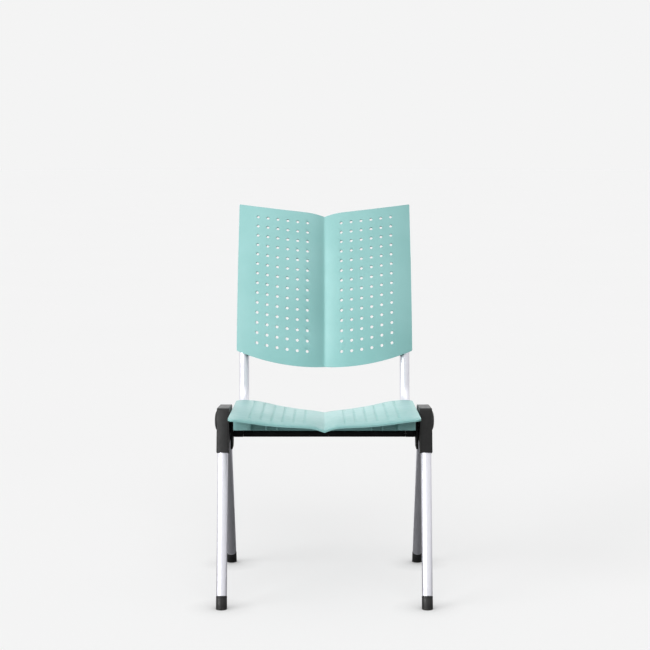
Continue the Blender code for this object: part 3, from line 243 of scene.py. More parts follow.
# Smoothness of round parts
TUBE_SIDES = 40
ROUND_SIDES = 40
SCREW_SIDES = 24
ARC_STEPS = 14
RIM_STEPS = 4
CROWN_STEPS = 12
DOME_STEPS = 5
HOUSING_RINGS = 7
EDGE_STEPS = 5
PLAIN_ROWS = 4
UPRIGHT_POINTS = 25
MARGIN_STEPS = 5
CORNER_STEPS = 6
CROSS_RIB_STEPS = 24
BLOCK_STEPS = 4
SHARP_ANGLE = math.radians(38.0)

# Camera: its place in metres, then what the photograph shows in its pixels
CAMERA_BEFORE_FEET = 3.98
CAMERA_HEIGHT = 1.107
CAMERA_REACH = 200.0
FOCAL_PIXELS = 1723.0
PHOTO_PIXELS = 650.0
AXIS_PIXEL = 324.45
HORIZON_ABOVE_MIDDLE = 186.0
PITCH = math.atan(HORIZON_ABOVE_MIDDLE / FOCAL_PIXELS)
SENSOR_WIDTH = 36.0

# Studio light: the backdrop's grey, the even fill, the walls that glossy finishes
# reflect, and the floor's own glow as a share of its grey
BACKDROP_GREY = 0.905
FILL_GREY = 0.20
REFLECTED_GREY = 0.98
FLOOR_GLOW = 0.62
# How far the contact shadows painted on the floor round the feet reach, and how finely they are
# worked out
PAINTED_SHADOW_REACH = 0.08
PAINTED_SHADOW_SAMPLES = 8
# How pale the floor is to the soft light that it sends back up, and in reflections of the floor under
# the chair, painted darker there as shade, and further out
FLOOR_BOUNCE = 0.25
SHADED_NEAR_REFLECTION = 0.13
FAR_REFLECTION = 0.75
NEAR_REACH = 0.45
FAR_REACH = 1.30
FLOOR_PATCHES = 0.002
FLOOR_RADIUS = 60.0
FLOOR_SIDES = 96
# Soft lights far away: degrees to the left of the camera, degrees up, strength, spread,
# and whether they show in glossy finishes
SOFT_LIGHTS = {
    "overhead_light": (0, 80, 0.62, 90, True),
    "left_light": (58, 18, 2.15, 40, True),
    "front_light": (0, 42, 1.05, 50, False),
    "rear_light": (180, 16, 0.40, 40, True),
}


# Shapes in the side view


def place(x, point):
    """Point in the object's frame from a place across and a side-view point."""
    return Vector((x, point.x + DEPTH_SHIFT, point.y))


def rounded_path(corners, radii, closed=False):
    """Points along straight runs whose corners are arcs of the given radii."""
    count = len(corners)
    points = []
    for index, corner in enumerate(corners):
        corner = Vector(corner)
        radius = radii[index]
        if radius == 0 or (not closed and index in (0, count - 1)):
            points.append(corner)
            continue
        back = (Vector(corners[index - 1]) - corner).normalized()
        ahead = (Vector(corners[(index + 1) % count]) - corner).normalized()
        half_angle = back.angle(ahead) / 2
        centre = corner + (back + ahead).normalized() * (radius / math.sin(half_angle))
        start = corner + back * (radius / math.tan(half_angle)) - centre
        end = corner + ahead * (radius / math.tan(half_angle)) - centre
        turn = -start.angle_signed(end)
        for step in range(ARC_STEPS + 1):
            points.append(centre + Matrix.Rotation(turn * step / ARC_STEPS, 2) @ start)
    return points


def crossing(first, second, third, fourth):
    """Where the line through the first two points meets the other line."""
    run, rise = second - first, fourth - third
    share = (third - first).cross(rise) / run.cross(rise)
    return first + run * share


def head_point(depth):
    return Vector((depth, HEAD_HEIGHT - (depth - HEAD_FRONT_DEPTH) * math.tan(HEAD_SLOPE)))


def front_leg_lean():
    corner = head_point(HEAD_FRONT_DEPTH)
    return math.atan((corner.x - FRONT_FOOT_DEPTH) / corner.y)


def rear_leg_lean():
    corner = head_point(HEAD_REAR_DEPTH)
    return math.atan((REAR_FOOT_DEPTH - corner.x) / corner.y)


def front_leg_point(height):
    return Vector((FRONT_FOOT_DEPTH + height * math.tan(front_leg_lean()), height))


def rear_leg_point(height):
    return Vector((REAR_FOOT_DEPTH - height * math.tan(rear_leg_lean()), height))


def leg_frame_path():
    corners = [front_leg_point(FOOT_HEIGHT), head_point(HEAD_FRONT_DEPTH),
               head_point(HEAD_REAR_DEPTH), rear_leg_point(FOOT_HEIGHT)]
    return rounded_path(corners, (0, LEG_BEND_RADIUS, LEG_BEND_RADIUS, 0))


def rail_point(depth):
    fall = (depth - RAIL_FRONT_DEPTH) * math.tan(RAIL_SLOPE)
    return Vector((depth, RAIL_FRONT_HEIGHT - fall))


def back_profile(share):
    """Depth and height of the back's side curve at a share of its height."""
    low, top = math.tan(BACK_LOW_RECLINE), math.tan(BACK_TOP_RECLINE)
    run = low * share + (top - low) * (share ** 2 - share ** 3 / 3)
    return Vector((BACK_BOTTOM_DEPTH + BACK_HEIGHT * run, BACK_BOTTOM_HEIGHT + BACK_HEIGHT * share))


def back_normal(share):
    """Unit step at right angles to the side curve, towards the rear."""
    step = 0.01
    tangent = back_profile(share + step) - back_profile(share - step)
    return Vector((tangent.y, -tangent.x)).normalized()


def lobe_depth(across):
    """How far the back's surface lies behind the crest of its lobes."""
    if across < BACK_CREST:
        return BACK_CREASE * (1 - across / BACK_CREST) ** 3
    return BACK_WING_DEPTH * ((across - BACK_CREST) / BACK_WING_WIDTH) ** 2


def wing_slope(across):
    """How steeply the back's surface runs rearwards in its wing."""
    return 2 * BACK_WING_DEPTH * (across - BACK_CREST) / BACK_WING_WIDTH ** 2


def upright_point(share):
    """Axis of the upright, behind the shell and its clips."""
    behind = Vector((lobe_depth(RAIL_PLANE), 0))
    offset = SHELL_THICKNESS + CLIP_SEAT + CLIP_WEB + TUBE_RADIUS
    return back_profile(share) + behind + back_normal(share) * offset


def clip_axis(share):
    """Middle of the upright's run in a clip, and the run's direction."""
    reach = CLIP_HALF_HEIGHT / BACK_HEIGHT
    low, high = upright_point(share - reach), upright_point(share + reach)
    return (low + high) / 2, (high - low).normalized()


def side_tube_path():
    shares = np.linspace(0.0, UPRIGHT_TOP_SHARE, UPRIGHT_POINTS)
    upright = [upright_point(float(share)) for share in shares]
    front = rail_point(RAIL_FRONT_DEPTH)
    corner = crossing(front, rail_point(BACK_BOTTOM_DEPTH), upright[0], upright[1])
    radii = [0, RAIL_BEND_RADIUS] + [0] * len(upright)
    return rounded_path([front, corner] + upright, radii)


# Making and finishing pieces


def new_object(name, mesh):
    item = bpy.data.objects.new(name, mesh)
    bpy.context.scene.collection.objects.link(item)
    return item


def object_from(name, bm, material=None):
    mesh = bpy.data.meshes.new(name)
    bm.to_mesh(mesh)
    bm.free()
    if material is not None:
        mesh.materials.append(material)
    return new_object(name, mesh)


def bake(item):
    """Turns an object's evaluated shape into its plain mesh, modifiers removed."""
    evaluated = item.evaluated_get(bpy.context.evaluated_depsgraph_get())
    mesh = bpy.data.meshes.new_from_object(evaluated)
    item.modifiers.clear()
    item.data = mesh
    mesh.shade_smooth()
    mesh.set_sharp_from_angle(angle=SHARP_ANGLE)
    return item


def soften_edges(item, width, segments=2):
    bevel = item.modifiers.new("edges", "BEVEL")
    bevel.width = width
    bevel.segments = segments
    bevel.limit_method = "ANGLE"
    bevel.angle_limit = SHARP_ANGLE
    bevel.use_clamp_overlap = True


def finished(item, body, slot, *nodes):
    """The piece moves with its body, and stands for the solids it is made over."""
    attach(item, body)
    if nodes:
        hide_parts(*nodes)
    return item


def made(name, bm, look, body, *nodes, edge=0.0, segments=2):
    """Finished piece from a mesh and its look, with soft edges where an edge is given."""
    material, slot = LOOKS[look]
    item = object_from(name, bm, material)
    if edge:
        soften_edges(item, edge, segments)
    return finished(bake(item), body, slot, *nodes)


def ring_angles(count):
    return [2 * math.pi * step / count for step in range(count)]


def bridge_rings(bm, outer, inner, outer_angles, inner_angles):
    """Triangles between two rings of unlike counts, walked by angle."""
    turn = 2 * math.pi
    i, j = 0, 0
    while i < len(outer) or j < len(inner):
        next_out = outer_angles[(i + 1) % len(outer)] + turn * ((i + 1) // len(outer))
        next_in = inner_angles[(j + 1) % len(inner)] + turn * ((j + 1) // len(inner))
        a, b = outer[i % len(outer)], inner[j % len(inner)]
        if j >= len(inner) or (i < len(outer) and next_out <= next_in):
            bm.faces.new((a, outer[(i + 1) % len(outer)], b))
            i += 1
        else:
            bm.faces.new((a, inner[(j + 1) % len(inner)], b))
            j += 1


def turned(profile, sides=ROUND_SIDES):
    """Closed solid turned about the X axis from (place, radius) points."""
    bm = bmesh.new()
    rings = []
    for along, radius in profile:
        if radius == 0:
            rings.append([bm.verts.new((along, 0, 0))])
            continue
        rings.append([
            bm.verts.new((along, radius * math.cos(angle), radius * math.sin(angle)))
            for angle in ring_angles(sides)
        ])
    for first, second in zip(rings, rings[1:]):
        for k in range(sides):
            if len(first) == 1:
                bm.faces.new((first[0], second[(k + 1) % sides], second[k]))
            elif len(second) == 1:
                bm.faces.new((first[k], first[(k + 1) % sides], second[0]))
            else:
                bm.faces.new((first[k], first[(k + 1) % sides],
                              second[(k + 1) % sides], second[k]))
    bmesh.ops.recalc_face_normals(bm, faces=bm.faces)
    return bm


def arc_angles(turn, steps, start=0.0):
    """Angles from the start through a turn, both ends among them."""
    return [start + turn * step / steps for step in range(steps + 1)]


def rolled_end(end, radius, rim):
    """Profile points round an outer edge and on to the middle of the end face."""
    rolled = [(end - rim + rim * math.sin(angle), radius - rim + rim * math.cos(angle))
              for angle in arc_angles(math.pi / 2, RIM_STEPS)]
    return rolled + [(end, 0)]


def placed(bm, centre, direction=Vector((1, 0, 0))):
    """Turns the solid's X axis to a direction and moves it to its centre."""
    turn = Vector((1, 0, 0)).rotation_difference(direction).to_matrix().to_4x4()
    bmesh.ops.transform(bm, matrix=Matrix.Translation(centre) @ turn, verts=bm.verts)
    return bm


def close_between(bm, rings):
    """Closed solid through rings of one count: walls between them and both ends."""
    for first, second in zip(rings, rings[1:]):
        count = len(first)
        for k in range(count):
            bm.faces.new((first[k], first[(k + 1) % count], second[(k + 1) % count], second[k]))
    bm.faces.new(rings[0])
    bm.faces.new(rings[-1])
    bmesh.ops.recalc_face_normals(bm, faces=bm.faces)


def prism(outline, start, end):
    """Side-view outline pulled out across the chair from one place to another."""
    bm = bmesh.new()
    close_between(bm, [[bm.verts.new(place(x, point)) for point in outline] for x in (start, end)])
    return bm


# Node trees


def add_node(tree, kind, inputs=None):
    """New node; each named input is linked to a socket or set to a value."""
    node = tree.nodes.new(kind)
    for name, value in (inputs or {}).items():
        if isinstance(value, bpy.types.NodeSocket):
            tree.links.new(value, node.inputs[name])
        else:
            node.inputs[name].default_value = value
    return node


def start_tree(name, kinds):
    """Tree with a geometry input and output and the named inputs, and what those give."""
    tree = bpy.data.node_groups.new(name, "GeometryNodeTree")
    tree.interface.new_socket("Geometry", in_out="INPUT", socket_type="NodeSocketGeometry")
    for label, kind in kinds.items():
        tree.interface.new_socket(label, in_out="INPUT", socket_type=f"NodeSocket{kind}")
    tree.interface.new_socket("Geometry", in_out="OUTPUT", socket_type="NodeSocketGeometry")
    return tree, tree.nodes.new("NodeGroupInput").outputs


def end_tree(tree, given, geometry):
    """Last steps of every tree: realize, shade smooth and set the material."""
    real = add_node(tree, "GeometryNodeRealizeInstances", {"Geometry": geometry})
    smooth = add_node(tree, "GeometryNodeSetShadeSmooth", {"Geometry": real.outputs["Geometry"]})
    coat = add_node(tree, "GeometryNodeSetMaterial",
                    {"Geometry": smooth.outputs["Geometry"], "Material": given["Material"]})
    add_node(tree, "NodeGroupOutput", {"Geometry": coat.outputs["Geometry"]})
    return tree


def run_tree(item, tree, values):
    """Gives the object the tree with its inputs and keeps the resulting mesh."""
    modifier = item.modifiers.new("shape", "NODES")
    modifier.node_group = tree
    for socket in tree.interface.items_tree:
        if socket.in_out == "INPUT" and socket.name in values:
            modifier[socket.identifier] = values[socket.name]
    return bake(item)


def round_tube_tree():
    """A round tube along the object's edges."""
    tree, given = start_tree("round_tube", {
        "Radius": "Float", "Sides": "Int", "Material": "Material"})
    path = add_node(tree, "GeometryNodeMeshToCurve", {"Mesh": given["Geometry"]})
    ring = add_node(tree, "GeometryNodeCurvePrimitiveCircle",
                    {"Radius": given["Radius"], "Resolution": given["Sides"]})
    sweep = add_node(tree, "GeometryNodeCurveToMesh", {
        "Curve": path.outputs["Curve"], "Profile Curve": ring.outputs["Curve"], "Fill Caps": True})
    return end_tree(tree, given, sweep.outputs["Mesh"])


def perforation_tree():
    """Rows and columns of a pierced tile, joined into the open sheet."""
    tree, given = start_tree("perforations", {
        "Tile": "Object", "Columns": "Int", "Rows": "Int", "Width": "Float", "Length": "Float",
        "Left middle": "Vector", "Right middle": "Vector", "Material": "Material"})
    tile = add_node(tree, "GeometryNodeObjectInfo", {"Object": given["Tile"]})
    tile.transform_space = "ORIGINAL"
    spots = add_node(tree, "GeometryNodeMeshGrid", {
        "Vertices X": given["Columns"], "Vertices Y": given["Rows"],
        "Size X": given["Width"], "Size Y": given["Length"]})
    lobes = add_node(tree, "GeometryNodeJoinGeometry")
    for lobe in ("Left middle", "Right middle"):
        shift = add_node(tree, "GeometryNodeTransform",
                         {"Geometry": spots.outputs["Mesh"], "Translation": given[lobe]})
        tree.links.new(shift.outputs["Geometry"], lobes.inputs["Geometry"])
    tiles = add_node(tree, "GeometryNodeInstanceOnPoints",
                     {"Points": lobes.outputs["Geometry"], "Instance": tile.outputs["Geometry"]})
    real = add_node(tree, "GeometryNodeRealizeInstances", {"Geometry": tiles.outputs["Instances"]})
    whole = add_node(tree, "GeometryNodeJoinGeometry", {"Geometry": given["Geometry"]})
    tree.links.new(real.outputs["Geometry"], whole.inputs["Geometry"])
    merge = add_node(tree, "GeometryNodeMergeByDistance",
                     {"Geometry": whole.outputs["Geometry"], "Distance": GAP})
    return end_tree(tree, given, merge.outputs["Geometry"])


def fastener_tree():
    """One screw at each point, turned to the point's own direction."""
    tree, given = start_tree("fasteners", {"Screw": "Object", "Material": "Material"})
    screw = add_node(tree, "GeometryNodeObjectInfo", {"Object": given["Screw"]})
    screw.transform_space = "ORIGINAL"
    way = add_node(tree, "GeometryNodeInputNamedAttribute", {"Name": "direction"})
    way.data_type = "FLOAT_VECTOR"
    turn = add_node(tree, "FunctionNodeAlignRotationToVector", {"Vector": way.outputs["Attribute"]})
    turn.axis = "X"
    copies = add_node(tree, "GeometryNodeInstanceOnPoints", {
        "Points": given["Geometry"], "Instance": screw.outputs["Geometry"],
        "Rotation": turn.outputs["Rotation"]})
    return end_tree(tree, given, copies.outputs["Instances"])


TUBE_TREE = round_tube_tree()
HOLE_TREE = perforation_tree()
SCREW_TREE = fastener_tree()


# Materials


def start_material(name, values=None):
    """New material, its tree and its shader, with the even values of the shader set."""
    material = bpy.data.materials.new(name)
    material.use_nodes = True
    shader = material.node_tree.nodes["Principled BSDF"]
    for socket, value in (values or {}).items():
        shader.inputs[socket].default_value = value
    return material, material.node_tree, shader


def object_noise(tree, scale, detail):
    """Noise over the piece in metres; scale is in cycles for each metre."""
    where = add_node(tree, "ShaderNodeTexCoord")
    noise = add_node(tree, "ShaderNodeTexNoise",
                     {"Vector": where.outputs["Object"], "Scale": scale, "Detail": detail})
    return noise.outputs["Fac"]


def ranged(tree, value, low, high, start, end):
    """Stretches a value that runs from start to end, so that it runs from low to high."""
    fit = add_node(tree, "ShaderNodeMapRange", {
        "Value": value, "From Min": start, "From Max": end, "To Min": low, "To Max": high})
    return fit.outputs["Result"]


def patches(tree, scale, detail, low=0.0, high=1.0, start=0.35, end=0.65):
    """Patches of noise over the piece that run from low to high."""
    return ranged(tree, object_noise(tree, scale, detail), low, high, start, end)


def blended(tree, share, first, second):
    """Colour between two, by a value from 0 to 1; each is a grey, a colour or a socket."""
    mix = tree.nodes.new("ShaderNodeMix")
    mix.data_type = "RGBA"
    tree.links.new(share, mix.inputs["Factor"])
    # The node's colours are its inputs 6 and 7 and its output 2
    for socket, colour in ((mix.inputs[6], first), (mix.inputs[7], second)):
        if isinstance(colour, float):
            colour = (colour, colour, colour)
        if isinstance(colour, tuple):
            socket.default_value = (*colour, 1.0)
        else:
            tree.links.new(colour, socket)
    return mix.outputs[2]


def textured(tree, shader, colour, roughness, bumps):
    """Gives the shader its colour, its roughness as patches (scale, detail, low, high),
    and bumps laid over each other (scale, detail, depth in metres, strength)."""
    tree.links.new(colour, shader.inputs["Base Color"])
    tree.links.new(patches(tree, *roughness), shader.inputs["Roughness"])
    below = {}
    for scale, detail, depth, strength in bumps:
        bump = add_node(tree, "ShaderNodeBump", {
            "Height": object_noise(tree, scale, detail), "Distance": depth,
            "Strength": strength, **below})
        below = {"Normal": bump.outputs["Normal"]}
    tree.links.new(below["Normal"], shader.inputs["Normal"])


def teal_moulding():
    """Pale teal polypropylene: fine spark grain, soft gloss, faint flow shading."""
    material, tree, shader = start_material("teal_moulding", {"Specular IOR Level": 0.45})
    colour = blended(tree, patches(tree, 9.0, 3.0), (0.272, 0.538, 0.524), (0.300, 0.570, 0.558))
    speck = patches(tree, 900.0, 2.0, high=0.10, start=0.55, end=0.75)
    colour = blended(tree, speck, colour, (0.40, 0.66, 0.65))
    textured(tree, shader, colour, (60.0, 3.0, 0.40, 0.50),
             [(1500.0, 2.0, 0.00006, 0.5), (25.0, 2.0, 0.0004, 0.10)])
    return material


def silver_coat():
    """Satin silver powder coat: metallic flake under a fine orange peel."""
    material, tree, shader = start_material("silver_coat", {
        "Metallic": 0.92, "Coat Weight": 0.20, "Coat Roughness": 0.25})
    flake = patches(tree, 4200.0, 1.0, start=0.40, end=0.62)
    colour = blended(tree, flake, (0.79, 0.79, 0.85), (0.88, 0.88, 0.94))
    textured(tree, shader, colour, (90.0, 3.0, 0.38, 0.46), [(1300.0, 2.0, 0.00003, 0.35)])
    return material


def black_moulding():
    """Black polyamide with a leather-fine moulded texture and slightly paler patches."""
    material, tree, shader = start_material("black_moulding", {"Specular IOR Level": 0.38})
    colour = blended(tree, patches(tree, 30.0, 4.0), 0.004, 0.007)
    textured(tree, shader, colour, (140.0, 3.0, 0.44, 0.58), [(1800.0, 3.0, 0.00008, 0.6)])
    return material


def glide_plastic():
    """Black glides, a little dusty and scuffed where they meet the floor."""
    material, tree, shader = start_material("glide_plastic")
    where = add_node(tree, "ShaderNodeTexCoord")
    parts = add_node(tree, "ShaderNodeSeparateXYZ", {"Vector": where.outputs["Object"]})
    low = ranged(tree, parts.outputs["Z"], 1.0, 0.0, 0.0, SCUFF_HEIGHT)
    scuffs = patches(tree, 420.0, 4.0, start=0.42, end=0.66)
    both = add_node(tree, "ShaderNodeMath", {0: low, 1: scuffs})
    both.operation = "MULTIPLY"
    colour = blended(tree, both.outputs["Value"], 0.010, (0.060, 0.058, 0.055))
    textured(tree, shader, colour, (200.0, 3.0, 0.45, 0.62), [(1500.0, 3.0, 0.00008, 0.5)])
    return material


def black_coat():
    """Matt black powder coat on the crossbar, brackets and lugs."""
    material, tree, shader = start_material("black_coat", {"Specular IOR Level": 0.12})
    colour = blended(tree, patches(tree, 45.0, 3.0), 0.006, 0.011)
    textured(tree, shader, colour, (160.0, 3.0, 0.64, 0.74), [(1100.0, 2.0, 0.00004, 0.45)])
    return material


def soft_rubber():
    """Matt black rubber with a faint bloom."""
    material, tree, shader = start_material("soft_rubber")
    bloom = patches(tree, 70.0, 4.0, start=0.45, end=0.70)
    colour = blended(tree, bloom, 0.016, (0.034, 0.034, 0.036))
    textured(tree, shader, colour, (240.0, 2.0, 0.72, 0.88), [(900.0, 3.0, 0.00005, 0.4)])
    return material


def zinc_plate():
    """Bright zinc plating with cloudy patches and fine grain."""
    material, tree, shader = start_material("zinc_plate", {"Metallic": 1.0})
    colour = blended(tree, patches(tree, 220.0, 3.0), (0.50, 0.51, 0.53), (0.66, 0.67, 0.68))
    textured(tree, shader, colour, (500.0, 3.0, 0.24, 0.40), [(3500.0, 1.0, 0.00002, 0.4)])
    return material


def floor_finish():
    """Plain floor, as pale as the backdrop to look at, but dimmer as a source of light. Contact
    shadows round the feet are painted into its colour and glow, and in reflections it is painted
    darker under the chair as shade.
    """
    material, tree, shader = start_material("studio_floor", {
        "Roughness": 1.0, "Specular IOR Level": 0.0,
        "Emission Strength": BACKDROP_GREY * FLOOR_GLOW})
    light = FILL_GREY
    for _, height, strength, _, _ in SOFT_LIGHTS.values():
        light += strength * math.sin(math.radians(height)) / math.pi
    pale = BACKDROP_GREY * (1 - FLOOR_GLOW) / light
    seen = blended(tree, patches(tree, 0.8, 2.0), pale - FLOOR_PATCHES, pale + FLOOR_PATCHES)
    # Painted contact shadow: ambient occlusion darkens the floor's colour round the feet
    painted_contact_shadow = add_node(tree, "ShaderNodeAmbientOcclusion", {"Distance": PAINTED_SHADOW_REACH})
    painted_contact_shadow.samples = PAINTED_SHADOW_SAMPLES
    seen = blended(tree, painted_contact_shadow.outputs["AO"], 0.0, seen)
    where = add_node(tree, "ShaderNodeTexCoord")
    reach = add_node(tree, "ShaderNodeVectorMath", {"Vector": where.outputs["Object"]})
    reach.operation = "LENGTH"
    # Painted shade: in reflections the floor is darker under the chair than further out
    far = ranged(tree, reach.outputs["Value"], 0.0, 1.0, NEAR_REACH, FAR_REACH)
    reflected = blended(tree, far, SHADED_NEAR_REFLECTION, FAR_REFLECTION)
    path = add_node(tree, "ShaderNodeLightPath")
    colour = blended(tree, path.outputs["Is Glossy Ray"], FLOOR_BOUNCE, reflected)
    colour = blended(tree, path.outputs["Is Camera Ray"], colour, seen)
    tree.links.new(colour, shader.inputs["Base Color"])
    # The glow is darkened by the same painted contact shadow round the feet
    glow = blended(tree, painted_contact_shadow.outputs["AO"], 0.0, 1.0)
    glow = blended(tree, path.outputs["Is Camera Ray"], 0.0, glow)
    tree.links.new(glow, shader.inputs["Emission Color"])
    return material


# Each finish, and the record's slot that it stands for
LOOKS = {
    "teal": (teal_moulding(), "teal_plastic"),
    "silver": (silver_coat(), "silver_coat"),
    "moulding": (black_moulding(), "black_plastic"),
    "glide": (glide_plastic(), "black_plastic"),
    "coat": (black_coat(), "black_coat"),
    "rubber": (soft_rubber(), "black_rubber"),
    "zinc": (zinc_plate(), "zinc_steel"),
}


# Base


def tube_piece(name, points, radius, look, body, node):
    """Round tube along a path, in place of its solid."""
    material, slot = LOOKS[look]
    bm = bmesh.new()
    verts = [bm.verts.new(point) for point in points]
    for first, second in zip(verts, verts[1:]):
        bm.edges.new((first, second))
    item = run_tree(object_from(name, bm), TUBE_TREE,
                    {"Radius": radius, "Sides": TUBE_SIDES, "Material": material})
    finished(item, body, slot, node)


def foot_piece(label, end, side, low_point, lean):
    """Glide on the leg's line: a soft top edge, a groove and a flat sole."""
    length = FOOT_HEIGHT / math.cos(lean)
    seam = length * FOOT_SEAM_SHARE
    profile = [(-FOOT_BELOW_FLOOR, 0), (-FOOT_BELOW_FLOOR, FOOT_RADIUS), (seam, FOOT_RADIUS),
               (seam + FOOT_GROOVE, FOOT_RADIUS - FOOT_GROOVE),
               (seam + 2 * FOOT_GROOVE, FOOT_RADIUS)]
    bm = turned(profile + rolled_end(length, FOOT_RADIUS, FOOT_RIM))
    upright = Matrix.Rotation(-math.pi / 2, 4, "Y")
    leaning = Matrix.Rotation(-lean, 4, "X")
    centre = Matrix.Translation(place(side * LEG_PLANE, low_point))
    bmesh.ops.transform(bm, matrix=centre @ leaning @ upright, verts=bm.verts)
    sole = bmesh.ops.bisect_plane(
        bm, geom=bm.verts[:] + bm.edges[:] + bm.faces[:],
        plane_co=Vector(), plane_no=Vector((0, 0, -1)), clear_outer=True)
    cut_edges = [part for part in sole["geom_cut"] if isinstance(part, bmesh.types.BMEdge)]
    bmesh.ops.contextual_create(bm, geom=cut_edges)
    bmesh.ops.recalc_face_normals(bm, faces=bm.faces)
    made(f"{label}_{end}_glide", bm, "glide", "base", f"{label}_{end}_foot", edge=FOOT_EDGE)


def across_leg(lean, distance):
    """Step at right angles to a leg that leans back by this angle."""
    return Vector((math.cos(lean), -math.sin(lean))) * distance


def housing_outline(pull=0.0):
    """Side view: front sleeve, flat arch, rear sleeve and top run; pull draws the front in."""
    reach = TUBE_RADIUS + HOUSING_MARGIN
    front_end = front_leg_point(HOUSING_FRONT_HEIGHT)
    rear_end = rear_leg_point(HOUSING_REAR_HEIGHT)
    along_front = front_leg_point(HEAD_HEIGHT) - front_leg_point(0)
    along_rear = rear_leg_point(HEAD_HEIGHT) - rear_leg_point(0)
    front_low = front_end - across_leg(front_leg_lean(), reach - pull)
    front_tip = front_end + across_leg(front_leg_lean(), reach)
    rear_tip = rear_end - across_leg(-rear_leg_lean(), reach)
    rear_low = rear_end + across_leg(-rear_leg_lean(), reach)
    arch_front = Vector((0, HOUSING_ARCH_HEIGHT))
    arch_rear = Vector((REAR_FOOT_DEPTH, HOUSING_ARCH_HEIGHT))
    roof = Vector((0, reach / math.cos(HEAD_SLOPE)))
    roof_front, roof_rear = head_point(0) + roof, head_point(REAR_FOOT_DEPTH) + roof
    corners = [
        front_low,
        front_tip,
        crossing(front_tip, front_tip + along_front, arch_front, arch_rear),
        crossing(rear_tip, rear_tip + along_rear, arch_front, arch_rear),
        rear_tip,
        rear_low,
        crossing(rear_low, rear_low + along_rear, roof_front, roof_rear),
        crossing(front_low, front_low + along_front, roof_front, roof_rear),
    ]
    radii = (0, 0, HOUSING_ARCH_CORNER, HOUSING_ARCH_CORNER, 0, 0,
             HOUSING_REAR_CORNER, HOUSING_FRONT_CORNER)
    return rounded_path(corners, radii, closed=True)


def housing_pieces(label, side):
    """Outer shell with a big soft edge and the flat cover, with a seam between."""
    seam = HOUSING_SEAM + GAP
    shell = bmesh.new()
    rings = []
    for share in np.linspace(0, 1, HOUSING_RINGS):
        x = seam + (HOUSING_OUTER - seam) * share
        outline = housing_outline(HOUSING_CROWN * share ** 2)
        rings.append([shell.verts.new(place(side * x, point)) for point in outline])
    close_between(shell, rings)
    edges = [edge for edge in shell.edges
             if all(abs(vert.co.x) > HOUSING_OUTER - GAP for vert in edge.verts)]
    bmesh.ops.bevel(shell, geom=edges, offset=HOUSING_EDGE, segments=EDGE_STEPS, profile=0.5,
                    affect="EDGES", clamp_overlap=True)
    made(f"{label}_housing_outer", shell, "moulding", "base", f"{label}_housing_shell",
         edge=FINE_EDGE, segments=1)
    cover = prism(housing_outline(), side * HOUSING_INNER, side * HOUSING_SEAM)
    made(f"{label}_housing_inner", cover, "moulding", "base", f"{label}_housing_cover",
         edge=FINE_EDGE)


def cap_piece(label, side):
    """Crowned disc with a bevelled back edge, on a stub in the housing."""
    face = CAP_OUTER - HOUSING_OUTER
    profile = [(-CAP_STUB, 0), (-CAP_STUB, CAP_STUB), (CAP_BACK, CAP_STUB),
               (CAP_BACK, CAP_RADIUS - CAP_BEVEL), (CAP_RIM_START, CAP_RADIUS)]
    for angle in arc_angles(math.pi / 2, CROWN_STEPS)[:-1]:
        height = CAP_RIM_END + (face - CAP_RIM_END) * math.sin(angle)
        profile.append((height, CAP_RADIUS * math.cos(angle)))
    bm = turned(profile + [(face, 0)])
    placed(bm, Vector((side * HOUSING_OUTER, CAP_PLACE.y, CAP_PLACE.z)), Vector((side, 0, 0)))
    made(f"{label}_crowned_cap", bm, "moulding", "base", f"{label}_side_cap")


def bracket_line(drop, front, rear):
    """Two points under the tube's top run, lowered by a distance."""
    below = Vector((0, (TUBE_RADIUS + GAP) / math.cos(HEAD_SLOPE) + drop))
    return head_point(front) - below, head_point(rear) - below


def bracket_piece(label, side):
    """Web with a soft outline, the flange under the tube and a boss beside the lug."""
    front, rear = PIVOT_DEPTH - BRACKET_FRONT, FLANGE_REAR_DEPTH + BRACKET_MARGIN
    web_front, web_rear = bracket_line(GAP, front, rear)
    bottom = PIVOT.z - BRACKET_BELOW
    outline = rounded_path(
        [web_rear, web_front, Vector((front, bottom)),
         Vector((PIVOT_DEPTH + BRACKET_FRONT, bottom)), Vector((rear, PIVOT.z))],
        (0, BRACKET_MARGIN, BRACKET_CORNER, BRACKET_CORNER, BRACKET_CORNER), closed=True)
    web = prism(outline, side * BRACKET_INNER, side * (BRACKET_INNER + BRACKET_THICKNESS))
    made(f"{label}_bracket_web", web, "coat", "base", f"{label}_bracket", edge=METAL_EDGE)
    top_front, top_rear = bracket_line(0, FLANGE_FRONT_DEPTH, FLANGE_REAR_DEPTH)
    low_front, low_rear = bracket_line(BRACKET_THICKNESS, FLANGE_FRONT_DEPTH, FLANGE_REAR_DEPTH)
    flange = prism([top_rear, top_front, low_front, low_rear],
                   side * (BRACKET_INNER + BRACKET_THICKNESS / 2), side * BRACKET_REACH)
    made(f"{label}_bracket_flange", flange, "coat", "base", edge=METAL_EDGE)
    boss_length = BRACKET_INNER - RAIL_PLANE - LUG_HALF_WIDTH - GAP
    boss = turned([(0, 0), (0, CROSSBAR_RADIUS), (boss_length, CROSSBAR_RADIUS), (boss_length, 0)])
    placed(boss, Vector((side * BRACKET_INNER, PIVOT.y, PIVOT.z)), Vector((-side, 0, 0)))
    made(f"{label}_bracket_boss", boss, "coat", "base", edge=FINE_EDGE)


def nut_piece(label, side):
    """Hexagon nut with softened edges."""
    radius = size_of("right_rod_nut").z / 2 / math.cos(math.pi / 6)
    bm = turned([(0, 0), (0, radius), (NUT_THICKNESS, radius), (NUT_THICKNESS, 0)], 6)
    start = BRACKET_INNER + BRACKET_THICKNESS + GAP
    placed(bm, Vector((side * start, PIVOT.y, PIVOT.z)), Vector((side, 0, 0)))
    made(f"{label}_hex_nut", bm, "zinc", "base", f"{label}_rod_nut", edge=NUT_EDGE)


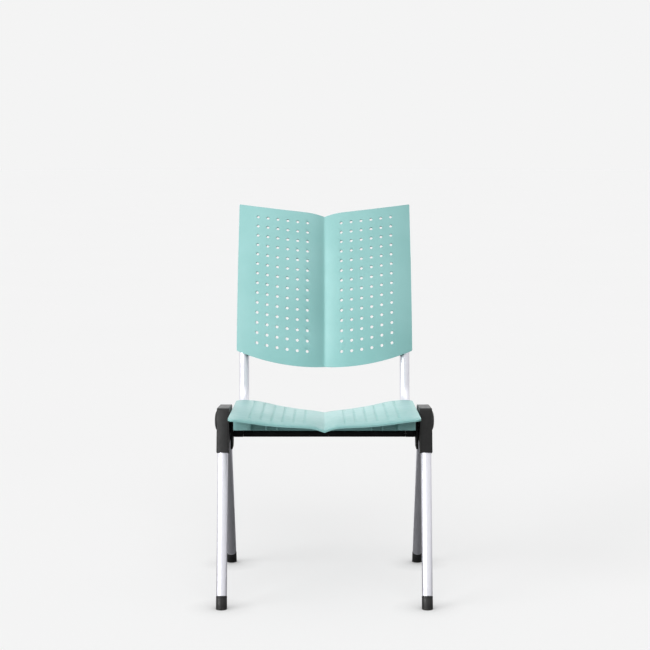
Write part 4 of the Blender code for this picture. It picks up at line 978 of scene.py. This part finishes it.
def bumper_piece(label, side):
    """Rubber post with rounded ends."""
    outer = rolled_end(BUMPER_LENGTH / 2, BUMPER_RADIUS, BUMPER_RIM)
    inner = [(-along, radius) for along, radius in reversed(outer)]
    bm = turned(inner + outer)
    placed(bm, Vector((side * BUMPER_PLACE.x, BUMPER_PLACE.y, BUMPER_PLACE.z)))
    made(f"{label}_rubber_post", bm, "rubber", "base", f"{label}_stop_bumper")


# Seat unit


def end_cap_piece(label, end, side, point, direction):
    """Plug with a rolled rim on an open end of a side tube."""
    profile = [(0, 0), (0, TUBE_RADIUS)] + rolled_end(END_CAP_THICKNESS, TUBE_RADIUS, END_CAP_RIM)
    outward = Vector((0, direction.x, direction.y))
    bm = placed(turned(profile), place(side * RAIL_PLANE, point), outward)
    made(f"{label}_{end}_plug", bm, "moulding", "seat_unit", f"{label}_{end}_cap")


def lug_piece(label, side):
    """Eye round the bush with a neck that widens up to the rail."""
    below = Vector((0, (TUBE_RADIUS + GAP) / math.cos(RAIL_SLOPE)))
    outline = [rail_point(PIVOT_DEPTH + LUG_NECK) - below, rail_point(PIVOT_DEPTH - LUG_NECK) - below]
    for angle in arc_angles(math.pi, ROUND_SIDES // 2, math.pi):
        outline.append(Vector((PIVOT_DEPTH + LUG_RADIUS * math.cos(angle),
                               PIVOT.z + LUG_RADIUS * math.sin(angle))))
    start, end = RAIL_PLANE - LUG_HALF_WIDTH, RAIL_PLANE + LUG_HALF_WIDTH
    eye = prism(outline, side * start, side * end)
    made(f"{label}_lug_eye", eye, "coat", "seat_unit", f"{label}_pivot_lug", edge=METAL_EDGE)


def clip_piece(label, level, side, share):
    """Saddle between shell and upright; its foot follows the shell's lower edge."""
    groove = TUBE_RADIUS + GAP
    slant = wing_slope(RAIL_PLANE) * back_normal(share).x
    reach = groove + CLIP_WALL
    front = TUBE_RADIUS + CLIP_WEB
    profile = [(-reach, 0), (-reach, front + slant * reach), (reach, front - slant * reach),
               (reach, 0)]
    for angle in arc_angles(math.pi, ROUND_SIDES // 2):
        profile.append((groove * math.cos(angle), groove * math.sin(angle)))
    axis, up = clip_axis(share)
    centre = place(side * RAIL_PLANE, axis)
    upward, forward = Vector((0, up.x, up.y)), Vector((0, -up.y, up.x))
    bm = bmesh.new()
    rows = []
    for end, slant_up in ((-CLIP_HALF_HEIGHT, math.tan(CLIP_FOOT_SLANT)), (CLIP_HALF_HEIGHT, 0)):
        rows.append([
            bm.verts.new(centre + Vector((side * across, 0, 0)) + forward * ahead
                         + upward * (end + across * slant_up))
            for across, ahead in profile
        ])
    close_between(bm, rows)
    made(f"{label}_{level}_saddle", bm, "moulding", "seat_unit", f"{label}_{level}_clip",
         edge=CLIP_EDGE)


def screw_blank(name, sizes, material):
    """Domed screw with a sunk middle; its head's seat is at the origin."""
    head_radius, head_height, shank_radius = sizes
    profile = [(-head_height, 0)]
    for angle in arc_angles(math.pi / 2, DOME_STEPS):
        rise = math.sin(angle)
        spread = SCREW_FLAT_SHARE + (1 - SCREW_FLAT_SHARE) * rise ** 0.5
        profile.append((-head_height + head_height * rise, head_radius * spread))
    profile += [(0, shank_radius), (SHANK_LENGTH, shank_radius), (SHANK_LENGTH, 0)]
    bm = turned(profile, SCREW_SIDES)
    middle = [face for face in bm.faces
              if all(vert.co.x < -head_height + GAP / 10 for vert in face.verts)]
    bmesh.ops.inset_region(bm, faces=middle, thickness=head_radius * SCREW_RING_SHARE)
    sunk_verts = {vert for face in middle for vert in face.verts}
    bmesh.ops.translate(bm, verts=list(sunk_verts), vec=(head_height * SCREW_SUNK_SHARE, 0, 0))
    item = object_from(name, bm, material)
    item.hide_render = True
    return item


def fasteners(name, places, sizes, body, nodes):
    """All screws of one body, made by one tree from their heads' seats."""
    material, slot = LOOKS["zinc"]
    blank = screw_blank(f"{name}_blank", sizes, material)
    mesh = bpy.data.meshes.new(name)
    mesh.from_pydata([tuple(centre) for centre, _ in places], [], [])
    way = mesh.attributes.new("direction", "FLOAT_VECTOR", "POINT")
    way.data.foreach_set("vector", [part for _, direction in places for part in direction])
    item = run_tree(new_object(name, mesh), SCREW_TREE, {"Screw": blank, "Material": material})
    bpy.data.objects.remove(blank)
    finished(item, body, slot, *nodes)


def housing_screw_places(side):
    """Seat of each head on the housing's inner face, and the way the screw goes in."""
    depths = (front_leg_point(HOUSING_SCREW_HEIGHT).x + SCREW_BEHIND_FRONT_LEG,
              rear_leg_point(HOUSING_SCREW_HEIGHT).x - SCREW_BEFORE_REAR_LEG)
    return [(place(side * (HOUSING_INNER - GAP), Vector((depth, HOUSING_SCREW_HEIGHT))),
             Vector((side, 0, 0))) for depth in depths]


def seat_screw_places(side):
    """Seat of each head under the rail, and the way the screw goes in."""
    up = Vector((0, math.sin(RAIL_SLOPE), math.cos(RAIL_SLOPE)))
    return [(place(side * RAIL_PLANE, rail_point(depth)) - up * (TUBE_RADIUS + GAP), up)
            for depth in SADDLE_DEPTHS]


def back_screw_places(side):
    """Seat of each head behind the upright, and the way the screw goes in."""
    places = []
    for share in CLIP_SHARES:
        axis, up = clip_axis(share)
        forward = Vector((0, -up.y, up.x))
        places.append((place(side * RAIL_PLANE, axis) - forward * (TUBE_RADIUS + GAP), forward))
    return places


# Shells


def smooth_share(along, places, values):
    """Smooth curve through a share table, with its slopes from neighbours."""
    slopes = np.gradient(np.array(values), np.array(places))
    index = int(np.clip(np.searchsorted(places, along) - 1, 0, len(places) - 2))
    width = places[index + 1] - places[index]
    t = (along - places[index]) / width
    return ((2 * t ** 3 - 3 * t ** 2 + 1) * values[index]
            + (t ** 3 - 2 * t ** 2 + t) * width * slopes[index]
            + (3 * t ** 2 - 2 * t ** 3) * values[index + 1]
            + (t ** 3 - t ** 2) * width * slopes[index + 1])


def corner_limit(half_width, radius, distance):
    """Half width left at a distance from an edge with a rounded corner."""
    if distance >= radius:
        return half_width
    return half_width - radius + math.sqrt(max(radius ** 2 - (radius - distance) ** 2, 0.0))


def drawn_in(across, half_width, limit, pattern_edge):
    """Places outside the hole pattern move in with the rounded corner."""
    size = abs(across)
    if size <= pattern_edge:
        return across
    share = (size - pattern_edge) / (half_width - pattern_edge)
    return math.copysign(pattern_edge + share * (limit - pattern_edge), across)


def cell_lines(first, last, count):
    """Lines that part a row of holes spread evenly from the first to the last."""
    pitch = (last - first) / (count - 1)
    return [first - pitch / 2 + step * pitch for step in range(count + 1)]


def seat_columns():
    return cell_lines(SEAT_PATTERN_MIDDLE, SEAT_HALF_WIDTH - SEAT_PATTERN_SIDE, HOLE_COLUMNS)


def back_columns():
    return cell_lines(BACK_PATTERN_MIDDLE, BACK_BOTTOM_HALF_WIDTH - BACK_PATTERN_SIDE,
                      HOLE_COLUMNS)


def seat_height(across, along):
    """Top of the seat at a place across and a distance from its front edge."""
    share = along / SEAT_DEPTH
    out = min(abs(across) / SEAT_HALF_WIDTH, 1.0)
    front_dip = SEAT_FRONT_CREASE * smooth_share(out, LOBE_SHARES, FRONT_DIP_SHARES)
    rear_dip = SEAT_REAR_CREASE * smooth_share(out, LOBE_SHARES, REAR_DIP_SHARES)
    roll = SEAT_LIP_ROLL * max(1 - along / SEAT_LIP_DEPTH, 0) ** 2
    return (SEAT_FRONT_HEIGHT - SEAT_FALL * share - roll
            - front_dip * (1 - share) - rear_dip * share)


def seat_point(across, along):
    front = corner_limit(SEAT_HALF_WIDTH, SEAT_FRONT_CORNER, along)
    rear = corner_limit(SEAT_HALF_WIDTH, SEAT_REAR_CORNER, SEAT_DEPTH - along)
    across = drawn_in(across, SEAT_HALF_WIDTH, min(front, rear), seat_columns()[-1])
    return place(across, Vector((along - SEAT_OVERHANG, seat_height(across, along))))


def back_lengths():
    """Table of the side curve: share of height against length from its low end."""
    shares = np.linspace(BACK_TABLE_START, 1.0, BACK_TABLE_POINTS)
    points = [back_profile(float(share)) for share in shares]
    steps = [(second - first).length for first, second in zip(points, points[1:])]
    lengths = np.concatenate(([0.0], np.cumsum(steps)))
    return shares, lengths - np.interp(0.0, shares, lengths)


def back_edges(across, lengths):
    """Lengths along the side curve of the smile-shaped and the notched edge."""
    smile_radius = (BACK_BOTTOM_HALF_WIDTH ** 2 + BACK_SMILE ** 2) / (2 * BACK_SMILE)
    bottom = smile_radius - math.sqrt(smile_radius ** 2 - across ** 2) - BACK_EDGE_DROP
    notch = BACK_NOTCH * max(1 - across / BACK_NOTCH_HALF_WIDTH, 0) ** 2
    top = lengths[-1] - BACK_TOP_FALL * (1 - across / BACK_TOP_HALF_WIDTH) - notch
    return bottom, top


def back_point(across, along, table):
    """Front of the back shell: along runs from 0 at the bottom edge to 1."""
    shares, lengths = table
    bottom, top = back_edges(abs(across), lengths)
    half_width = BACK_BOTTOM_HALF_WIDTH + along * (BACK_TOP_HALF_WIDTH - BACK_BOTTOM_HALF_WIDTH)
    limit = corner_limit(half_width, BACK_CORNER, min(along, 1 - along) * (top - bottom))
    across = drawn_in(across, BACK_BOTTOM_HALF_WIDTH, limit, back_columns()[-1])
    bottom, top = back_edges(abs(across), lengths)
    share = float(np.interp(bottom + along * (top - bottom), lengths, shares))
    side = back_profile(share)
    valley = max(1 - abs(across) / BACK_CREST, 0) ** 3 * math.sin(math.pi * along)
    depth = side.x + lobe_depth(abs(across)) + BACK_CREASE_SWELL * valley
    return place(across, Vector((depth, side.y)))


def pierced_tile(name, width, length):
    """Flat cell with a round hole, eight points on its border."""
    bm = bmesh.new()
    steps = ((-1, 0), (-1, -1), (0, -1), (1, -1), (1, 0), (1, 1), (0, 1), (-1, 1))
    border = [bm.verts.new((width / 2 * x, length / 2 * y, 0)) for x, y in steps]
    border_angles = [-math.pi] + [math.atan2(length * y, width * x) for x, y in steps[1:]]
    hole_angles = [angle - math.pi for angle in ring_angles(HOLE_SIDES)]
    hole = [bm.verts.new((HOLE_RADIUS * math.cos(angle), HOLE_RADIUS * math.sin(angle), 0))
            for angle in hole_angles]
    bridge_rings(bm, border, hole, border_angles, hole_angles)
    item = object_from(name, bm)
    item.hide_render = True
    return item


def halved(lines):
    """The lines with one more in the middle of each interval."""
    middles = [(first + second) / 2 for first, second in zip(lines, lines[1:])]
    return sorted(lines + middles)


def rounding_lines(radius):
    """Distances from an edge where a rounded corner needs points."""
    return [radius * (1 - math.cos(angle)) for angle in arc_angles(math.pi / 2, CORNER_STEPS)]


def open_sheet(name, lobe, block, half_width, length, near, far):
    """Flat sheet without the pattern's cells; their places are left open."""
    margin = half_width - lobe[-1]
    outer = [lobe[-1] + margin * step / MARGIN_STEPS for step in range(1, MARGIN_STEPS + 1)]
    inner = [lobe[0] * step / MARGIN_STEPS for step in range(MARGIN_STEPS)]
    positive = inner + halved(lobe) + outer
    columns = [-x for x in reversed(positive[1:])] + positive
    before = rounding_lines(near)
    before += list(np.linspace(near, block[0], PLAIN_ROWS))[1:-1]
    after = []
    if length - far > block[-1]:
        after = list(np.linspace(block[-1], length - far, PLAIN_ROWS))[1:-1]
    after += [length - line for line in reversed(rounding_lines(far)) if length - line > block[-1]]
    rows = [float(line) for line in before + halved(block) + after]
    bm = bmesh.new()
    grid = [[bm.verts.new((x, y, 0)) for x in columns] for y in rows]
    for row in range(len(rows) - 1):
        for column in range(len(columns) - 1):
            x = (columns[column] + columns[column + 1]) / 2
            y = (rows[row] + rows[row + 1]) / 2
            if lobe[0] < abs(x) < lobe[-1] and block[0] < y < block[-1]:
                continue
            bm.faces.new((grid[row][column], grid[row][column + 1],
                          grid[row + 1][column + 1], grid[row + 1][column]))
    loose = [vert for vert in bm.verts if not vert.link_faces]
    bmesh.ops.delete(bm, geom=loose, context="VERTS")
    return object_from(name, bm)


def faced(mesh, direction):
    """Turns all faces of an open sheet to one side, the one that looks this way."""
    bm = bmesh.new()
    bm.from_mesh(mesh)
    bmesh.ops.recalc_face_normals(bm, faces=bm.faces)
    bm.normal_update()
    if sum((face.normal * face.calc_area() for face in bm.faces), Vector()).dot(direction) < 0:
        bmesh.ops.reverse_faces(bm, faces=bm.faces)
    bm.to_mesh(mesh)
    bm.free()


def pierced_shell(name, node, lobe, block, half_width, length, corners, surface, facing):
    """Whole shell: open sheet, tiles from the tree, bent to its surface, thickened."""
    material, slot = LOOKS["teal"]
    item = open_sheet(name, lobe, block, half_width, length, *corners)
    cell_width, cell_length = lobe[1] - lobe[0], block[1] - block[0]
    tile = pierced_tile(name + "_tile", cell_width, cell_length)
    across, along = (lobe[0] + lobe[-1]) / 2, (block[0] + block[-1]) / 2
    run_tree(item, HOLE_TREE, {
        "Tile": tile, "Columns": HOLE_COLUMNS, "Rows": HOLE_ROWS,
        "Width": (HOLE_COLUMNS - 1) * cell_width, "Length": (HOLE_ROWS - 1) * cell_length,
        "Left middle": (-across, along, 0), "Right middle": (across, along, 0),
        "Material": material})
    bpy.data.objects.remove(tile)
    for vert in item.data.vertices:
        vert.co = surface(vert.co.x, vert.co.y)
    faced(item.data, facing)
    solid = item.modifiers.new("thickness", "SOLIDIFY")
    solid.thickness = SHELL_THICKNESS
    solid.offset = -1.0
    solid.use_even_offset = True
    soften_edges(item, SHELL_EDGE, 1)
    bake(item)
    for edge in item.data.edges:
        if all(abs(item.data.vertices[index].co.x) < GAP / 10 for index in edge.vertices):
            edge.use_edge_sharp = True
    finished(item, "seat_unit", slot, node)


def rib_block(bm, across, depths, low_heights, steps):
    """Block from one place across to another, and from its lower edge up into the seat."""
    rings = []
    for x in np.linspace(*across, steps + 1):
        tops = [seat_height(x, depth + SEAT_OVERHANG) - SHELL_THICKNESS / 2 for depth in depths]
        corners = zip((*depths, *reversed(depths)), (*low_heights, *reversed(tops)))
        rings.append([bm.verts.new(place(x, Vector(corner))) for corner in corners])
    close_between(bm, rings)


def seat_ribs():
    """Cross rib, corner blocks, ribs and saddles under the seat, as one moulded piece."""
    bm = bmesh.new()
    reach = BLOCK_INNER + RIB_THICKNESS
    rib_block(bm, (-reach, reach), (RIB_REAR_DEPTH - RIB_THICKNESS, RIB_REAR_DEPTH),
              (RIB_REAR_HEIGHT, RIB_REAR_HEIGHT), CROSS_RIB_STEPS)
    lift = Vector((0, (TUBE_RADIUS + GAP) / math.cos(RAIL_SLOPE)))
    for _, side in SIDES:
        rib_block(bm, (side * BLOCK_INNER, side * BLOCK_OUTER),
                  (RIB_FRONT_DEPTH, RIB_REAR_DEPTH - GAP),
                  (RIB_FRONT_HEIGHT, RIB_REAR_HEIGHT - GAP), BLOCK_STEPS)
        for half_width in RIB_HALF_WIDTHS:
            rib_block(bm, (side * half_width, side * (half_width + RIB_THICKNESS)),
                      (RIB_FRONT_DEPTH + GAP, RIB_REAR_DEPTH - RIB_THICKNESS / 2),
                      (RIB_FRONT_HEIGHT + GAP, RIB_REAR_HEIGHT + GAP), 1)
        for depth in SADDLE_DEPTHS:
            front = rail_point(depth - SADDLE_HALF_LENGTH) + lift
            rear = rail_point(depth + SADDLE_HALF_LENGTH) + lift
            inner, outer = RAIL_PLANE - SADDLE_HALF_WIDTH, RAIL_PLANE + SADDLE_HALF_WIDTH
            rib_block(bm, (side * inner, side * outer), (front.x, rear.x), (front.y, rear.y), 2)
    made("seat_ribs", bm, "teal", "seat_unit", edge=RIB_EDGE)


def seat_piece():
    rows = cell_lines(SEAT_PATTERN_FRONT, SEAT_DEPTH - SEAT_PATTERN_REAR, HOLE_ROWS)
    pierced_shell("seat_moulding", "seat_shell", seat_columns(), rows, SEAT_HALF_WIDTH,
                  SEAT_DEPTH, (SEAT_FRONT_CORNER, SEAT_REAR_CORNER), seat_point,
                  Vector((0, 0, 1)))


def back_piece():
    """Back shell, whose rows are spread over its length at the middle of a lobe."""
    table = back_lengths()
    columns = back_columns()
    bottom, top = back_edges((columns[0] + columns[-1]) / 2, table[1])
    length = top - bottom
    rows = cell_lines(BACK_PATTERN_BOTTOM, length - BACK_PATTERN_TOP, HOLE_ROWS)
    pierced_shell("back_moulding", "back_shell", columns, rows, BACK_BOTTOM_HALF_WIDTH, length,
                  (BACK_CORNER, BACK_CORNER),
                  lambda x, y: back_point(x, min(max(y / length, 0.0), 1.0), table),
                  Vector((0, -1, 0)))


# The chair


def dress_base():
    for label, side in SIDES:
        path = [place(side * LEG_PLANE, point) for point in leg_frame_path()]
        tube_piece(f"{label}_leg_tube", path, TUBE_RADIUS, "silver", "base", f"{label}_leg_frame")
        foot_piece(label, "front", side, front_leg_point(0), front_leg_lean())
        foot_piece(label, "rear", side, rear_leg_point(0), -rear_leg_lean())
        for piece in (housing_pieces, cap_piece, bracket_piece, nut_piece, bumper_piece):
            piece(label, side)
    bar = [Vector((x, PIVOT.y, PIVOT.z)) for x in (-CROSSBAR_HALF_LENGTH, CROSSBAR_HALF_LENGTH)]
    tube_piece("spacer_bar", bar, CROSSBAR_RADIUS, "coat", "base", "crossbar")
    places = [spot for _, side in SIDES for spot in housing_screw_places(side)]
    nodes = [f"{label}_{end}_housing_screw" for label, _ in SIDES for end in ("front", "rear")]
    fasteners("housing_screws", places, HOUSING_SCREW, "base", nodes)


def dress_seat_unit():
    points = side_tube_path()
    ends = (("rail", points[0], points[0] - points[1]),
            ("upright", points[-1], points[-1] - points[-2]))
    for label, side in SIDES:
        path = [place(side * RAIL_PLANE, point) for point in points]
        tube_piece(f"{label}_rail_and_upright", path, TUBE_RADIUS, "silver", "seat_unit",
                   f"{label}_side_tube")
        for end, point, direction in ends:
            end_cap_piece(label, end, side, point, direction)
        lug_piece(label, side)
        for level, share in zip(("lower", "upper"), CLIP_SHARES):
            clip_piece(label, level, side, share)
    places = [spot for _, side in SIDES for spot in seat_screw_places(side) + back_screw_places(side)]
    kinds = ("front_seat_screw", "rear_seat_screw", "lower_back_screw", "upper_back_screw")
    nodes = [f"{label}_{kind}" for label, _ in SIDES for kind in kinds]
    fasteners("tube_screws", places, TUBE_SCREW, "seat_unit", nodes)
    seat_piece()
    seat_ribs()
    back_piece()


def coat_kept_nodes():
    """Solids that stay in view keep their shape and get the finer finish."""
    kept = {"pivot_rod": "zinc"}
    for label, _ in SIDES:
        kept[f"{label}_bush_sleeve"] = "zinc"
        kept[f"{label}_rubber_bush"] = "rubber"
    for name, look in kept.items():
        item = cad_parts[name]
        item.data.materials.clear()
        item.data.materials.append(LOOKS[look][0])


# Studio


def studio_walls():
    """Even grey all round: one for the fill, one for glossy finishes, one for the camera."""
    world = bpy.data.worlds.new("studio_world")
    world.use_nodes = True
    bpy.context.scene.world = world
    tree = world.node_tree
    tree.nodes.remove(tree.nodes["Background"])
    path = add_node(tree, "ShaderNodeLightPath")
    seen = add_node(tree, "ShaderNodeBackground", {"Color": (FILL_GREY, FILL_GREY, FILL_GREY, 1.0)})
    for kind, grey in (("Is Glossy Ray", REFLECTED_GREY), ("Is Camera Ray", BACKDROP_GREY)):
        wall = add_node(tree, "ShaderNodeBackground", {"Color": (grey, grey, grey, 1.0)})
        seen = add_node(tree, "ShaderNodeMixShader", {
            "Fac": path.outputs[kind], 1: seen.outputs[0], 2: wall.outputs[0]})
    tree.links.new(seen.outputs[0], tree.nodes["World Output"].inputs["Surface"])


def soft_light(name, left, height, strength, spread, shows):
    light = bpy.data.lights.new(name, "SUN")
    light.energy = strength
    light.angle = math.radians(spread)
    item = bpy.data.objects.new(name, light)
    left, height = math.radians(left), math.radians(height)
    source = Vector((-math.sin(left) * math.cos(height), -math.cos(left) * math.cos(height),
                     math.sin(height)))
    item.rotation_euler = source.to_track_quat("Z", "Y").to_euler()
    item.visible_glossy = shows
    bpy.context.scene.collection.objects.link(item)


def studio():
    bpy.context.scene.view_settings.view_transform = "Standard"
    bm = bmesh.new()
    bmesh.ops.create_circle(bm, cap_ends=True, radius=FLOOR_RADIUS, segments=FLOOR_SIDES)
    floor = object_from("studio_floor", bm, floor_finish())
    studio_walls()
    for name, light in SOFT_LIGHTS.items():
        soft_light(name, *light)


def photo_camera():
    data = bpy.data.cameras.new("photo_camera")
    data.sensor_width = SENSOR_WIDTH
    data.lens = FOCAL_PIXELS / PHOTO_PIXELS * SENSOR_WIDTH
    data.shift_x = (PHOTO_PIXELS / 2 - AXIS_PIXEL) / PHOTO_PIXELS
    data.clip_end = CAMERA_REACH
    camera = bpy.data.objects.new("photo_camera", data)
    camera.location = (0, DEPTH_SHIFT - CAMERA_BEFORE_FEET, CAMERA_HEIGHT)
    camera.rotation_euler = (math.pi / 2 - PITCH, 0, 0)
    bpy.context.scene.collection.objects.link(camera)
    bpy.context.scene.camera = camera


photo_camera()
studio()
dress_base()
dress_seat_unit()
coat_kept_nodes()
